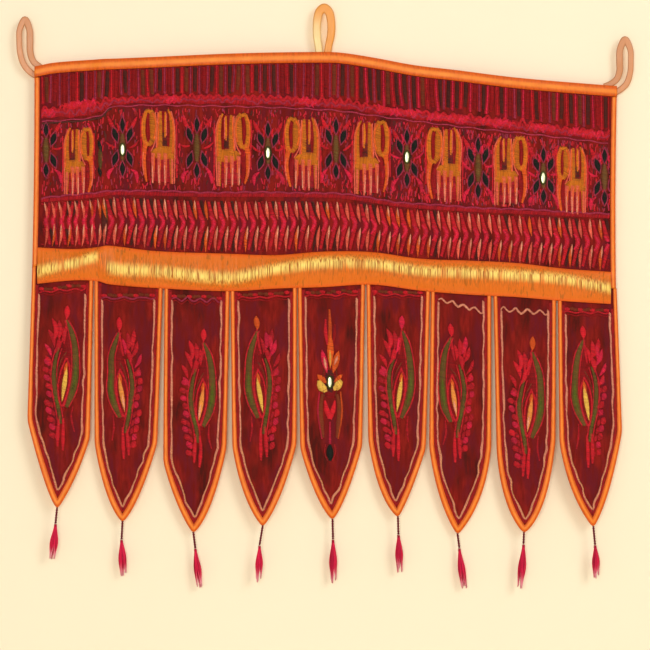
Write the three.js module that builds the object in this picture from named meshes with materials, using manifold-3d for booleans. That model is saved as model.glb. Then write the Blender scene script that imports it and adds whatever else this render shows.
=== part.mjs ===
// Toran: an embroidered door hanging of cotton cloth with nine pointed flags.
// Millimetres, +Z up. X runs along the doorway and Y runs back towards the wall.
// The origin is the inside top of the centre loop, where a hook or pin bears.

import * as THREE from 'three';
import { mergeVertices } from 'three/addons/utils/BufferGeometryUtils.js';
import Module from 'manifold-3d';

const wasm = await Module();
wasm.setup();

// Cloth and seams
const HEADER_CLOTH = 2.0;
const FLAG_CLOTH = 1.6;
const SATIN = 1.0;
const SEWN_GAP = 0.35;
const SEAM_GAP = 0.8;

// Bindings: width that shows on the front
const TOP_BINDING_WIDTH = 17;
const SIDE_BINDING_WIDTH = 8;
const FLAG_BINDING_WIDTH = 6;
const FLAG_BINDING_SPREAD = 3.4;

// Outline of the header
const HEADER_TOP_EDGE = [
  { x: -463.2, z: -85.6 },
  { x: -432, z: -79.2 },
  { x: -368, z: -74.4 },
  { x: -272, z: -70.4 },
  { x: -144, z: -64.8 },
  { x: -16, z: -62.4 },
  { x: 25.6, z: -63.2 },
  { x: 80, z: -71.2 },
  { x: 144, z: -83.2 },
  { x: 208, z: -91.2 },
  { x: 304, z: -103.2 },
  { x: 468.8, z: -116.8 },
];
const HEADER_SIDES = {
  left: { top: -463.2, bottom: -466.4, drawnIn: 1.0 },
  right: { top: 468.8, bottom: 467.2, drawnIn: -1.6 },
};

// Ribbon: its two edges, and the share of its height at which its puffed ridge lies
const RIBBON = [
  { x: -457, top: -375, bottom: -433, ridge: 0.66 },
  { x: -400, top: -377.5, bottom: -427.6, ridge: 0.46 },
  { x: -361.6, top: -374.4, bottom: -428.8, ridge: 0.3 },
  { x: -345.6, top: -372, bottom: -433.6, ridge: 0.56 },
  { x: -268.8, top: -380.8, bottom: -440, ridge: 0.54 },
  { x: -150, top: -385.2, bottom: -445, ridge: 0.64 },
  { x: -76.8, top: -387.2, bottom: -440.8, ridge: 0.42 },
  { x: 0, top: -381.6, bottom: -438.4, ridge: 0.32 },
  { x: 76.8, top: -382.4, bottom: -434.4, ridge: 0.36 },
  { x: 153.6, top: -392.8, bottom: -444, ridge: 0.38 },
  { x: 230.4, top: -396, bottom: -450.4, ridge: 0.36 },
  { x: 307.2, top: -400, bottom: -454.4, ridge: 0.36 },
  { x: 384, top: -408.8, bottom: -460.8, ridge: 0.33 },
  { x: 457.6, top: -414, bottom: -465.4, ridge: 0.52 },
];
const RIBBON_CLOTH = 1.4;
const RIBBON_PUFF = 7;
const RIBBON_ARC = [0, 0.22, 0.5, 0.78, 1];

// Flags, outer edge of the binding: top corners, shoulders, the middle of each slanting side, and
// the point; twist and bow are how far the point's corners turn and the point swings out of plane
const FLAGS = [
  { topLeft: -466.4, topRight: -369.2, leftX: -473.6, leftZ: -651, rightX: -375, rightZ: -680,
    slantLeft: -447.6, slantRight: -398.6, slantZ: -744, tipX: -426.2, tipZ: -794, twist: 5, bow: -6 },
  { topLeft: -367.6, topRight: -257.6, leftX: -367.1, leftZ: -689, rightX: -266.8, rightZ: -688,
    slantLeft: -347.8, slantRight: -294.8, slantZ: -769, tipX: -322.4, tipZ: -816, twist: -4, bow: -3 },
  { topLeft: -254.8, topRight: -150.8, leftX: -257, leftZ: -718, rightX: -156.2, rightZ: -696,
    slantLeft: -235.2, slantRight: -180.4, slantZ: -784, tipX: -209.2, tipZ: -833.6, twist: 4, bow: 2 },
  { topLeft: -149.6, topRight: -43.8, leftX: -146.4, leftZ: -693, rightX: -44.1, rightZ: -690,
    slantLeft: -127, slantRight: -69.1, slantZ: -769.6, tipX: -97.8, tipZ: -822.6, twist: -3, bow: -5 },
  { topLeft: -42.2, topRight: 65.6, leftX: -37.9, leftZ: -696, rightX: 60.9, rightZ: -693,
    slantLeft: -13.4, slantRight: 36.6, slantZ: -768, tipX: 13.6, tipZ: -812.4, twist: 3, bow: 1 },
  { topLeft: 67.8, topRight: 170, leftX: 71, leftZ: -683, rightX: 162.6, rightZ: -696,
    slantLeft: 90, slantRight: 139.9, slantZ: -761.6, tipX: 118.2, tipZ: -808, twist: -5, bow: -4 },
  { topLeft: 171.6, topRight: 266.8, leftX: 168.4, leftZ: -693, rightX: 267.3, rightZ: -693,
    slantLeft: 185.6, slantRight: 250.2, slantZ: -774.4, tipX: 213.8, tipZ: -836, twist: 4, bow: 2 },
  { topLeft: 270.4, topRight: 370.8, leftX: 276.3, leftZ: -699, rightX: 369.7, rightZ: -683,
    slantLeft: 290.6, slantRight: 351.8, slantZ: -779.2, tipX: 319.6, tipZ: -832.8, twist: -4, bow: -2 },
  { topLeft: 374.1, topRight: 468.3, leftX: 376.3, leftZ: -686, rightX: 476.9, rightZ: -670,
    slantLeft: 396.2, slantRight: 455.6, slantZ: -763, tipX: 430.2, tipZ: -823.6, twist: 5, bow: -7 },
];
const FLAG_SIDE_ROWS = 4;
const FLAG_SLANT_ROWS = 3;
const FLAG_COLUMNS = 4;

// Tassels: where the stem ends and where the skirt of strands ends
const TASSELS = [
  { stemX: -428.8, stemZ: -816, endX: -434.5, endZ: -876 },
  { stemX: -324, stemZ: -842, endX: -321, endZ: -903 },
  { stemX: -206, stemZ: -856, endX: -199, endZ: -926 },
  { stemX: -103, stemZ: -851, endX: -105, endZ: -912 },
  { stemX: 14.4, stemZ: -842, endX: 14.6, endZ: -913 },
  { stemX: 119, stemZ: -834, endX: 120.8, endZ: -896 },
  { stemX: 216.8, stemZ: -856, endX: 224.5, endZ: -923 },
  { stemX: 318.8, stemZ: -849, endX: 313.8, endZ: -921 },
  { stemX: 433, stemZ: -850, endX: 434.7, endZ: -907 },
];
const TASSEL_STEM = { radius: 2, topRadius: 1.7, topLength: 1.5 };
const TASSEL_HEAD = { radius: 3, neckRadius: 2.3, footRadius: 2.8, length: 7, shoulder: 3 };
const TASSEL_SIDES = 8;
const TASSEL_RINGS = [
  { strands: 7, rootRadius: 1.9, endRadius: 5.2, shorter: 0 },
  { strands: 4, rootRadius: 0.7, endRadius: 2.4, shorter: 5 },
];
const STRAND_RADIUS = 0.85;
const STRAND_ROOT_DEPTH = 2;
const STRAND_BEND_AT = 0.6;
const STRAND_BELLY = 0.5;
const STRAND_UNEVEN = 2.5;

// Loops: the middle line of the flattened tube, from one sewn end over the top to the other,
// half is half of its width there and back is its distance behind the hanging's plane
const LOOP_THICKNESS = 3.4;
const LOOP_EDGE = 0.35;
const LOOP_FLAT = 0.6;
const LOOP_CENTRE = [
  { x: 5.6, z: -82, half: 6, back: 4.6 },
  { x: 5.8, z: -66, half: 6, back: 4.6 },
  { x: 7.4, z: -52, half: 6, back: 3.9 },
  { x: 11.2, z: -34, half: 6.4, back: 1.6 },
  { x: 11.4, z: -14, half: 6.6, back: 0 },
  { x: 7.6, z: 2.4, half: 7, back: 0 },
  { x: 0.2, z: 8.2, half: 7.4, back: 0 },
  { x: -7.2, z: 2.4, half: 7, back: 0 },
  { x: -11, z: -14, half: 6.6, back: 0 },
  { x: -11.2, z: -36, half: 6.4, back: 1.6 },
  { x: -8.8, z: -54, half: 6, back: 3.9 },
  { x: -7.4, z: -67, half: 6, back: 4.6 },
  { x: -7.2, z: -82, half: 6, back: 4.6 },
];
const LOOP_LEFT = [
  { x: -446, z: -90, half: 5, back: 4.6 },
  { x: -457, z: -84, half: 5, back: 4.6 },
  { x: -466, z: -76, half: 5.2, back: 4.4 },
  { x: -470.4, z: -62, half: 5.4, back: 2.4 },
  { x: -470.6, z: -42, half: 5.6, back: 0.4 },
  { x: -471.4, z: -26, half: 5.4, back: 0 },
  { x: -478.6, z: -10.4, half: 5.6, back: 0 },
  { x: -487, z: -26, half: 4.6, back: 0.4 },
  { x: -487.8, z: -44, half: 4.6, back: 1 },
  { x: -486.4, z: -64, half: 4.8, back: 2 },
  { x: -480.6, z: -82, half: 5, back: 3.8 },
  { x: -470.4, z: -94, half: 5, back: 4.6 },
  { x: -457.6, z: -101.5, half: 5, back: 4.6 },
  { x: -446, z: -105.6, half: 5, back: 4.6 },
];
const LOOP_RIGHT = [
  { x: 449, z: -117, half: 5, back: 4.6 },
  { x: 460, z: -112.4, half: 5, back: 4.6 },
  { x: 469, z: -105, half: 5.2, back: 4.4 },
  { x: 473.4, z: -92, half: 5.4, back: 2.4 },
  { x: 473.2, z: -76, half: 5.6, back: 0.4 },
  { x: 473.8, z: -58, half: 5.4, back: 0 },
  { x: 481.8, z: -42.4, half: 5.8, back: 0 },
  { x: 490.2, z: -58, half: 4.8, back: 0.4 },
  { x: 491.2, z: -76, half: 4.6, back: 1 },
  { x: 490, z: -96, half: 4.8, back: 2 },
  { x: 484.2, z: -113, half: 5, back: 3.8 },
  { x: 473, z: -123, half: 5, back: 4.6 },
  { x: 460.6, z: -128, half: 5, back: 4.6 },
  { x: 449, z: -131, half: 5, back: 4.6 },
];
const LOOP_STEPS = 26;

// Mirrors: middle of each, all of one oval size, the last one on the middle flag
const MIRRORS = [
  { x: -322.4, z: -218.4, flag: null },
  { x: -89.6, z: -224, flag: null },
  { x: 132.8, z: -230.4, flag: null },
  { x: 350.4, z: -264, flag: null },
  { x: 9.3, z: -590.4, flag: 4 },
];
const MIRROR = { halfWidth: 3.2, halfHeight: 9, thickness: 1.2, rim: 0.7, sides: 14, bevel: 0.82 };

// Folds of the hung cloth: two long soft waves, and one upright crease in the header
const WAVES = [
  { height: 2.4, length: 430, shift: 60, lean: 0.0004 },
  { height: 1.3, length: 262, shift: -30, lean: 0.0011 },
];
const CREASE = { x: -354, height: -3.4, spread: 14, fadeFrom: 2, fadeTo: 22 };
const STATION_STEP = 28;
const CREASE_STATIONS = [-382, -368, -361, -354, -347, -340, -326];

// Smooth value of one column of a table, whose rows run along x
function along(table, column, x) {
  let row = 0;
  while (row < table.length - 2 && x > table[row + 1].x) row += 1;
  const slopeAt = (index) => {
    const before = table[Math.max(index - 1, 0)];
    const after = table[Math.min(index + 1, table.length - 1)];
    return (after[column] - before[column]) / (after.x - before.x);
  };
  const from = table[row];
  const to = table[row + 1];
  const span = to.x - from.x;
  const t = THREE.MathUtils.clamp((x - from.x) / span, 0, 1);
  const rise = to[column] - from[column];
  const startTurn = slopeAt(row) * span - rise;
  const endTurn = rise - slopeAt(row + 1) * span;
  return from[column] + rise * t + t * (1 - t) * (startTurn * (1 - t) + endTurn * t);
}

// Lower edge of the header, which lies under the middle of the ribbon
function seamHeight(x) {
  return (along(RIBBON, 'top', x) + along(RIBBON, 'bottom', x)) / 2;
}

// How far the cloth stands out of its plane at one place
function fold(x, z) {
  let y = 0;
  for (const wave of WAVES) {
    y += wave.height * Math.sin((2 * Math.PI * (x + wave.shift)) / wave.length + wave.lean * z * Math.PI);
  }
  const fade = THREE.MathUtils.smoothstep(z - seamHeight(x), CREASE.fadeFrom, CREASE.fadeTo);
  const away = (x - CREASE.x) / CREASE.spread;
  return y + CREASE.height * fade * Math.exp(-away * away);
}

// Turn and swing of one flag, which grow from its top to its point
function flagFold(flag, x, z) {
  const top = seamHeight((flag.topLeft + flag.topRight) / 2);
  const drop = THREE.MathUtils.clamp((top - z) / (top - flag.tipZ), 0, 1);
  const halfWidth = (flag.topRight - flag.topLeft) / 2;
  const side = (x - flag.tipX) / halfWidth;
  return fold(x, z) + drop * drop * (flag.bow + flag.twist * side);
}

// Moves every point of a flat-laid piece out by the fold at its place
function hang(geometry, foldAt) {
  const place = geometry.getAttribute('position');
  for (let i = 0; i < place.count; i += 1) {
    place.setY(i, place.getY(i) + foldAt(place.getX(i), place.getZ(i)));
  }
  return geometry;
}

// Geometry from points and triangles, turned so that its faces point out
function solidFrom(points, triangles) {
  const edgeOne = new THREE.Vector3();
  let volume = 0;
  for (const [a, b, c] of triangles) {
    volume += edgeOne.crossVectors(points[b], points[c]).dot(points[a]);
  }
  const index = [];
  for (const [a, b, c] of triangles) {
    if (volume > 0) index.push(a, b, c);
    else index.push(a, c, b);
  }
  const geometry = new THREE.BufferGeometry();
  const places = points.flatMap((p) => p.toArray());
  geometry.setAttribute('position', new THREE.Float32BufferAttribute(places, 3));
  geometry.setIndex(index);
  return geometry;
}

// Closed solid through a run of like sections; profile is their flat outline, counterclockwise
function loft(sections, profile) {
  const sides = profile.length;
  const points = sections.flat();
  const triangles = [];
  for (let i = 0; i < sections.length - 1; i += 1) {
    for (let j = 0; j < sides; j += 1) {
      const next = (j + 1) % sides;
      const a = i * sides + j;
      const b = i * sides + next;
      triangles.push([a, b, a + sides], [b, b + sides, a + sides]);
    }
  }
  const last = (sections.length - 1) * sides;
  for (const [a, b, c] of THREE.ShapeUtils.triangulateShape(profile, [])) {
    triangles.push([a, c, b], [last + a, last + b, last + c]);
  }
  return solidFrom(points, triangles);
}

// Closed sheet about a grid of points of its middle surface; the last row may be one point
function sheet(rows, thickness) {
  const points = [];
  const starts = [];
  for (const row of rows) {
    starts.push(points.length);
    for (const p of row) {
      points.push(new THREE.Vector3(p.x, p.y - thickness / 2, p.z));
      points.push(new THREE.Vector3(p.x, p.y + thickness / 2, p.z));
    }
  }
  const at = (k, j, side) => starts[k] + 2 * Math.min(j, rows[k].length - 1) + side;
  const columns = rows[0].length - 1;
  const bottom = rows.length - 1;
  const pointed = rows[bottom].length === 1;
  const triangles = [];
  for (let k = 0; k < bottom; k += 1) {
    for (let j = 0; j < columns; j += 1) {
      const lastFan = pointed && k === bottom - 1;
      triangles.push([at(k, j, 0), at(k + 1, j, 0), lastFan ? at(k, j + 1, 0) : at(k + 1, j + 1, 0)]);
      triangles.push([at(k, j, 1), lastFan ? at(k, j + 1, 1) : at(k + 1, j + 1, 1), at(k + 1, j, 1)]);
      if (!lastFan) {
        triangles.push([at(k, j, 0), at(k + 1, j + 1, 0), at(k, j + 1, 0)]);
        triangles.push([at(k, j, 1), at(k, j + 1, 1), at(k + 1, j + 1, 1)]);
      }
    }
  }
  const rim = [];
  for (let k = 0; k < bottom; k += 1) rim.push([k, 0]);
  if (pointed) rim.push([bottom, 0]);
  else for (let j = 0; j <= columns; j += 1) rim.push([bottom, j]);
  for (let k = bottom - 1; k > 0; k -= 1) rim.push([k, columns]);
  for (let j = columns; j > 0; j -= 1) rim.push([0, j]);
  rim.forEach(([k, j], i) => {
    const [nextK, nextJ] = rim[(i + 1) % rim.length];
    triangles.push([at(nextK, nextJ, 0), at(k, j, 0), at(k, j, 1)]);
    triangles.push([at(nextK, nextJ, 0), at(k, j, 1), at(nextK, nextJ, 1)]);
  });
  return solidFrom(points, triangles);
}

// Folded strip: its section wraps an edge, x is the distance in from the outer edge and y the depth
function bindingProfile(width, clothThickness) {
  const channel = clothThickness / 2 + SEWN_GAP;
  const face = channel + SATIN;
  return [
    new THREE.Vector2(0, -face),
    new THREE.Vector2(width, -face),
    new THREE.Vector2(width, -channel),
    new THREE.Vector2(SATIN, -channel),
    new THREE.Vector2(SATIN, channel),
    new THREE.Vector2(width, channel),
    new THREE.Vector2(width, face),
    new THREE.Vector2(0, face),
  ];
}

// Sweeps a folded strip along stations, each with its outer point, the way in from it and how
// much wider than its profile the strip is there
function bindingSolid(stations, profile) {
  const sections = stations.map(({ outer, inward, extra = 0 }) => profile.map((p) => {
    const reach = p.x > SATIN ? p.x + extra : p.x;
    return new THREE.Vector3(outer.x + inward.x * reach, p.y, outer.z + inward.z * reach);
  }));
  return loft(sections, profile);
}

// Upright stations of the header, closer together at the crease
function headerStations(from, to) {
  const stations = [from, to];
  const count = Math.round((to - from) / STATION_STEP);
  for (let i = 1; i < count; i += 1) {
    const x = from + ((to - from) * i) / count;
    const afterStart = x > CREASE_STATIONS[0] - STATION_STEP / 2;
    const beforeEnd = x < CREASE_STATIONS.at(-1) + STATION_STEP / 2;
    if (!(afterStart && beforeEnd)) stations.push(x);
  }
  return stations.concat(CREASE_STATIONS).sort((a, b) => a - b);
}

const EDGE_INSET = SATIN + SEWN_GAP;
const STATIONS = headerStations(HEADER_SIDES.left.top, HEADER_SIDES.right.top);

// Outer side edge of the header at a share of its height
function sideEdge(side, share) {
  return THREE.MathUtils.lerp(side.top, side.bottom, share) + side.drawnIn * 4 * share * (1 - share);
}

// Header cloth, inside its bindings
function headerCloth() {
  const shares = [0, 0.22, 0.44, 0.66, 0.88];
  const hemRow = CREASE.fadeTo + 2;
  const { left, right } = HEADER_SIDES;
  const rows = [...shares, 'hem', 'edge'].map((share) => STATIONS.map((station) => {
    const top = along(HEADER_TOP_EDGE, 'z', station) - EDGE_INSET;
    const bottom = seamHeight(station);
    const height = top - bottom;
    let z = top - share * (height - hemRow);
    if (share === 'hem') z = bottom + hemRow;
    if (share === 'edge') z = bottom;
    const down = (top - z) / height;
    const x = THREE.MathUtils.mapLinear(station, left.top, right.top,
      sideEdge(left, down) + EDGE_INSET, sideEdge(right, down) - EDGE_INSET);
    return new THREE.Vector3(x, 0, z);
  }));
  return hang(sheet(rows, HEADER_CLOTH), fold);
}

// Satin strip over the top edge
function topBinding() {
  const inward = new THREE.Vector3(0, 0, -1);
  const stations = STATIONS.map((x) => ({
    outer: new THREE.Vector3(x, 0, along(HEADER_TOP_EDGE, 'z', x)),
    inward,
  }));
  return hang(bindingSolid(stations, bindingProfile(TOP_BINDING_WIDTH, HEADER_CLOTH)), fold);
}

// Satin strip over one side edge, from under the top strip to the seam
function sideBinding(side, inwardX) {
  const rows = 6;
  const inward = new THREE.Vector3(inwardX, 0, 0);
  const topZ = along(HEADER_TOP_EDGE, 'z', side.top);
  const startZ = topZ - TOP_BINDING_WIDTH - SEWN_GAP;
  const endZ = seamHeight(side.bottom);
  const stations = [];
  for (let i = 0; i <= rows; i += 1) {
    const z = THREE.MathUtils.lerp(startZ, endZ, i / rows);
    stations.push({ outer: new THREE.Vector3(sideEdge(side, (topZ - z) / (topZ - endZ)), 0, z), inward });
  }
  return hang(bindingSolid(stations, bindingProfile(SIDE_BINDING_WIDTH, HEADER_CLOTH)), fold);
}

// Puffed satin band over the seam, its upper edge on the header and its lower edge on the flags' strips
function ribbon() {
  const upperSeat = HEADER_CLOTH / 2 + SEWN_GAP;
  const lowerSeat = FLAG_CLOTH / 2 + SEWN_GAP + SATIN + SEWN_GAP;
  const from = RIBBON[0].x;
  const to = RIBBON.at(-1).x;
  const stations = [from, ...STATIONS.filter((x) => x > from + 1 && x < to - 1), to];
  const sections = stations.map((x) => {
    const top = along(RIBBON, 'top', x);
    const bottom = along(RIBBON, 'bottom', x);
    const ridge = along(RIBBON, 'ridge', x);
    const arc = RIBBON_ARC.map((share) => {
      const rising = share < ridge ? share / ridge : (1 - share) / (1 - ridge);
      const puff = RIBBON_PUFF * Math.sin((Math.PI / 2) * rising);
      return {
        z: THREE.MathUtils.lerp(top, bottom, share),
        back: -THREE.MathUtils.lerp(upperSeat, lowerSeat, share) - puff,
      };
    });
    const front = arc.map((p) => new THREE.Vector3(x, p.back - RIBBON_CLOTH, p.z));
    const rear = arc.map((p) => new THREE.Vector3(x, p.back, p.z)).reverse();
    return [...front, ...rear];
  });
  const profile = sections[0].map((p) => new THREE.Vector2(p.y, p.z));
  if (THREE.ShapeUtils.isClockWise(profile)) {
    profile.reverse();
    sections.forEach((section) => section.reverse());
  }
  return hang(loft(sections, profile), fold);
}

// One side of a flag's outline: down to the shoulder, then along a bowed slant to the point
function flagSide(flag, topX, shoulderX, shoulderZ, slantX) {
  const topZ = seamHeight(topX) - SEAM_GAP;
  const edge = [];
  for (let i = 0; i < FLAG_SIDE_ROWS; i += 1) {
    const share = i / FLAG_SIDE_ROWS;
    edge.push(new THREE.Vector3(
      THREE.MathUtils.lerp(topX, shoulderX, share), 0, THREE.MathUtils.lerp(topZ, shoulderZ, share),
    ));
  }
  const shoulder = new THREE.Vector3(shoulderX, 0, shoulderZ);
  const middle = new THREE.Vector3(slantX, 0, flag.slantZ);
  const tip = new THREE.Vector3(flag.tipX, 0, flag.tipZ);
  const bend = middle.clone().multiplyScalar(2);
  bend.addScaledVector(shoulder, -0.5).addScaledVector(tip, -0.5);
  const slant = new THREE.QuadraticBezierCurve3(shoulder, bend, tip);
  return edge.concat(slant.getPoints(FLAG_SLANT_ROWS));
}

// Way in from each point of an open outline, lengthened at corners so that widths stay true
function inwardWays(outline) {
  return outline.map((p, i) => {
    const before = outline[Math.max(i - 1, 0)];
    const after = outline[Math.min(i + 1, outline.length - 1)];
    const cameFrom = p.clone().sub(before).normalize();
    const goesTo = after.clone().sub(p).normalize();
    if (i === 0) return new THREE.Vector3(1, 0, 0);
    if (i === outline.length - 1) return new THREE.Vector3(-1, 0, 0);
    const normalOne = new THREE.Vector3(-cameFrom.z, 0, cameFrom.x);
    const normalTwo = new THREE.Vector3(-goesTo.z, 0, goesTo.x);
    const middle = normalOne.add(normalTwo).normalize();
    return middle.divideScalar(middle.dot(normalTwo));
  });
}

// Outer edge of one flag from its top left round the point to its top right, with the ways in and
// the widening of the strip past the shoulders
function flagOutline(flag) {
  const left = flagSide(flag, flag.topLeft, flag.leftX, flag.leftZ, flag.slantLeft);
  const right = flagSide(flag, flag.topRight, flag.rightX, flag.rightZ, flag.slantRight);
  const outline = [...left, ...right.slice(0, -1).reverse()];
  const ways = inwardWays(outline);
  return outline.map((outer, i) => {
    const row = Math.min(i, outline.length - 1 - i);
    const past = THREE.MathUtils.clamp((row - FLAG_SIDE_ROWS + 1) / FLAG_SLANT_ROWS, 0, 1);
    return { outer, inward: ways[i], extra: FLAG_BINDING_SPREAD * past };
  });
}

// Cloth of one flag, inside its binding
function flagCloth(flag) {
  const stations = flagOutline(flag);
  const inner = stations.map(({ outer, inward }) => outer.clone().addScaledVector(inward, EDGE_INSET));
  const tipRow = FLAG_SIDE_ROWS + FLAG_SLANT_ROWS;
  const rows = [];
  for (let k = 0; k < tipRow; k += 1) {
    const left = inner[k];
    const right = inner[inner.length - 1 - k];
    const row = [];
    for (let j = 0; j <= FLAG_COLUMNS; j += 1) row.push(left.clone().lerp(right, j / FLAG_COLUMNS));
    rows.push(row);
  }
  rows[0].forEach((p) => p.setZ(seamHeight(p.x) - SEAM_GAP));
  rows.push([inner[tipRow]]);
  return hang(sheet(rows, FLAG_CLOTH), (x, z) => flagFold(flag, x, z));
}

// Satin strip over the sides and the point of one flag
function flagBinding(flag) {
  const profile = bindingProfile(FLAG_BINDING_WIDTH, FLAG_CLOTH);
  return hang(bindingSolid(flagOutline(flag), profile), (x, z) => flagFold(flag, x, z));
}

// Solid for cutting and joining, from a closed geometry
function asManifold(geometry) {
  const bare = geometry.clone();
  bare.deleteAttribute('normal');
  bare.deleteAttribute('uv');
  const merged = mergeVertices(bare, 0.0001);
  return new wasm.Manifold(new wasm.Mesh({
    numProp: 3,
    vertProperties: new Float32Array(merged.getAttribute('position').array),
    triVerts: new Uint32Array(merged.index.array),
  }));
}

// Geometry from a joined solid
function fromManifold(solid) {
  const mesh = solid.getMesh();
  const geometry = new THREE.BufferGeometry();
  geometry.setAttribute('position', new THREE.Float32BufferAttribute(mesh.vertProperties, 3));
  geometry.setIndex(new THREE.Uint32BufferAttribute(mesh.triVerts, 1));
  return geometry;
}

// Three-sided strand of a tassel, from its root in the head to its cut end
function strand(root, bend, end) {
  const profile = [0, 1, 2].map((i) => {
    const angle = (i * 2 * Math.PI) / 3;
    return new THREE.Vector2(Math.cos(angle), Math.sin(angle)).multiplyScalar(STRAND_RADIUS);
  });
  const sections = [root, bend, end].map((centre) => profile.map((p) => (
    new THREE.Vector3(centre.x + p.x, centre.y + p.y, centre.z)
  )));
  return loft(sections, profile);
}

// Turned body of a tassel: stem, wound neck and head, leaning from the point of the flag
function tasselBody(tip, stemEnd) {
  const stemLength = tip.z - stemEnd.z;
  const rings = [
    { down: 0, radius: TASSEL_STEM.topRadius },
    { down: TASSEL_STEM.topLength, radius: TASSEL_STEM.radius },
    { down: stemLength - TASSEL_HEAD.shoulder, radius: TASSEL_STEM.radius },
    { down: stemLength, radius: TASSEL_HEAD.neckRadius },
    { down: stemLength + TASSEL_HEAD.length / 2, radius: TASSEL_HEAD.radius },
    { down: stemLength + TASSEL_HEAD.length, radius: TASSEL_HEAD.footRadius },
  ];
  const profile = [];
  for (let i = 0; i < TASSEL_SIDES; i += 1) {
    const angle = (i * 2 * Math.PI) / TASSEL_SIDES;
    profile.push(new THREE.Vector2(Math.cos(angle), Math.sin(angle)));
  }
  const lean = (stemEnd.x - tip.x) / stemLength;
  const sections = rings.map((ring) => profile.map((p) => new THREE.Vector3(
    tip.x + lean * Math.min(ring.down, stemLength) + p.x * ring.radius,
    tip.y + p.y * ring.radius,
    tip.z - ring.down,
  )));
  return loft(sections, profile);
}

// Tassel under the point of one flag, its strands apart below the head
function tassel(flag, measures) {
  const tipY = flagFold(flag, flag.tipX, flag.tipZ);
  const tip = new THREE.Vector3(flag.tipX, tipY, flag.tipZ - SEWN_GAP);
  const stemEnd = new THREE.Vector3(measures.stemX, tipY, measures.stemZ);
  let solid = asManifold(tasselBody(tip, stemEnd));
  const rootZ = stemEnd.z - TASSEL_HEAD.length + STRAND_ROOT_DEPTH;
  for (const ring of TASSEL_RINGS) {
    for (let i = 0; i < ring.strands; i += 1) {
      const angle = ((i + 0.5 * ring.shorter) * 2 * Math.PI) / ring.strands + flag.tipX;
      const outX = Math.cos(angle);
      const outY = Math.sin(angle);
      const endZ = measures.endZ + ring.shorter + STRAND_UNEVEN * Math.abs(Math.sin(angle * 3));
      const out = new THREE.Vector3(outX, outY, 0);
      const root = new THREE.Vector3(stemEnd.x, tipY, rootZ).addScaledVector(out, ring.rootRadius);
      const end = new THREE.Vector3(measures.endX, tipY, endZ).addScaledVector(out, ring.endRadius);
      const bend = root.clone().lerp(end, STRAND_BEND_AT);
      bend.addScaledVector(out, STRAND_BELLY * ring.endRadius);
      solid = solid.add(asManifold(strand(root, bend, end)));
    }
  }
  return fromManifold(solid);
}

// Hanging loop: a flattened tube of satin, both ends sewn behind the hanging's edge
function loop(route) {
  const places = route.map((p) => new THREE.Vector3(p.x, p.back, p.z));
  const halves = route.map((p, i) => new THREE.Vector3(i, p.half, 0));
  const middle = new THREE.CatmullRomCurve3(places, false, 'centripetal');
  const widths = new THREE.CatmullRomCurve3(halves, false, 'centripetal');
  const thin = LOOP_THICKNESS / 2;
  const quarter = [new THREE.Vector2(1, LOOP_EDGE), new THREE.Vector2(LOOP_FLAT, 1)];
  const upper = [...quarter, ...quarter.map((p) => new THREE.Vector2(-p.x, p.y)).reverse()];
  const profile = [...upper, ...upper.map((p) => new THREE.Vector2(p.x, -p.y)).reverse()];
  const sections = [];
  for (let i = 0; i <= LOOP_STEPS; i += 1) {
    const t = i / LOOP_STEPS;
    const centre = middle.getPoint(t);
    const ahead = middle.getTangent(t).setY(0).normalize();
    const across = new THREE.Vector3(-ahead.z, 0, ahead.x);
    const half = widths.getPoint(t).y;
    sections.push(profile.map((p) => (
      centre.clone().addScaledVector(across, p.x * half).add(new THREE.Vector3(0, p.y * thin, 0))
    )));
  }
  return hang(loft(sections, profile), fold);
}

// Oval mirror lying on the cloth, with a bevelled front
function mirror({ x, z, flag }) {
  const seat = (flag === null ? HEADER_CLOTH : FLAG_CLOTH) / 2 + SEWN_GAP;
  const profile = [];
  for (let i = 0; i < MIRROR.sides; i += 1) {
    const angle = (i * 2 * Math.PI) / MIRROR.sides;
    const across = Math.cos(angle) * MIRROR.halfWidth;
    profile.push(new THREE.Vector2(across, Math.sin(angle) * MIRROR.halfHeight));
  }
  const layers = [
    { out: seat, size: 1 },
    { out: seat + MIRROR.rim, size: 1 },
    { out: seat + MIRROR.thickness, size: MIRROR.bevel },
  ];
  const sections = layers.map((layer) => profile.map((p) => (
    new THREE.Vector3(x + p.x * layer.size, -layer.out, z + p.y * layer.size)
  )));
  const foldAt = flag === null ? fold : (px, pz) => flagFold(FLAGS[flag], px, pz);
  return hang(loft(sections, profile), foldAt);
}

// Colours and finishes
const MAROON_COTTON = { color: 0x6a1420, roughness: 0.9, metalness: 0 };
const ORANGE_SATIN = { color: 0xf2812a, roughness: 0.42, metalness: 0 };
const GOLD_SATIN = { color: 0xf08c1e, roughness: 0.3, metalness: 0.15 };
const LOOP_SATIN = { color: 0xe09a5c, roughness: 0.4, metalness: 0 };
const CRIMSON_THREAD = { color: 0xc8183c, roughness: 0.75, metalness: 0 };
const MIRROR_GLASS = { color: 0xe8ead0, roughness: 0.08, metalness: 0.9 };

const toran = new THREE.Group();

// One named piece with its own material
function addPiece(name, geometry, finish) {
  const mesh = new THREE.Mesh(geometry, new THREE.MeshStandardMaterial(finish));
  mesh.name = name;
  toran.add(mesh);
}

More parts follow.
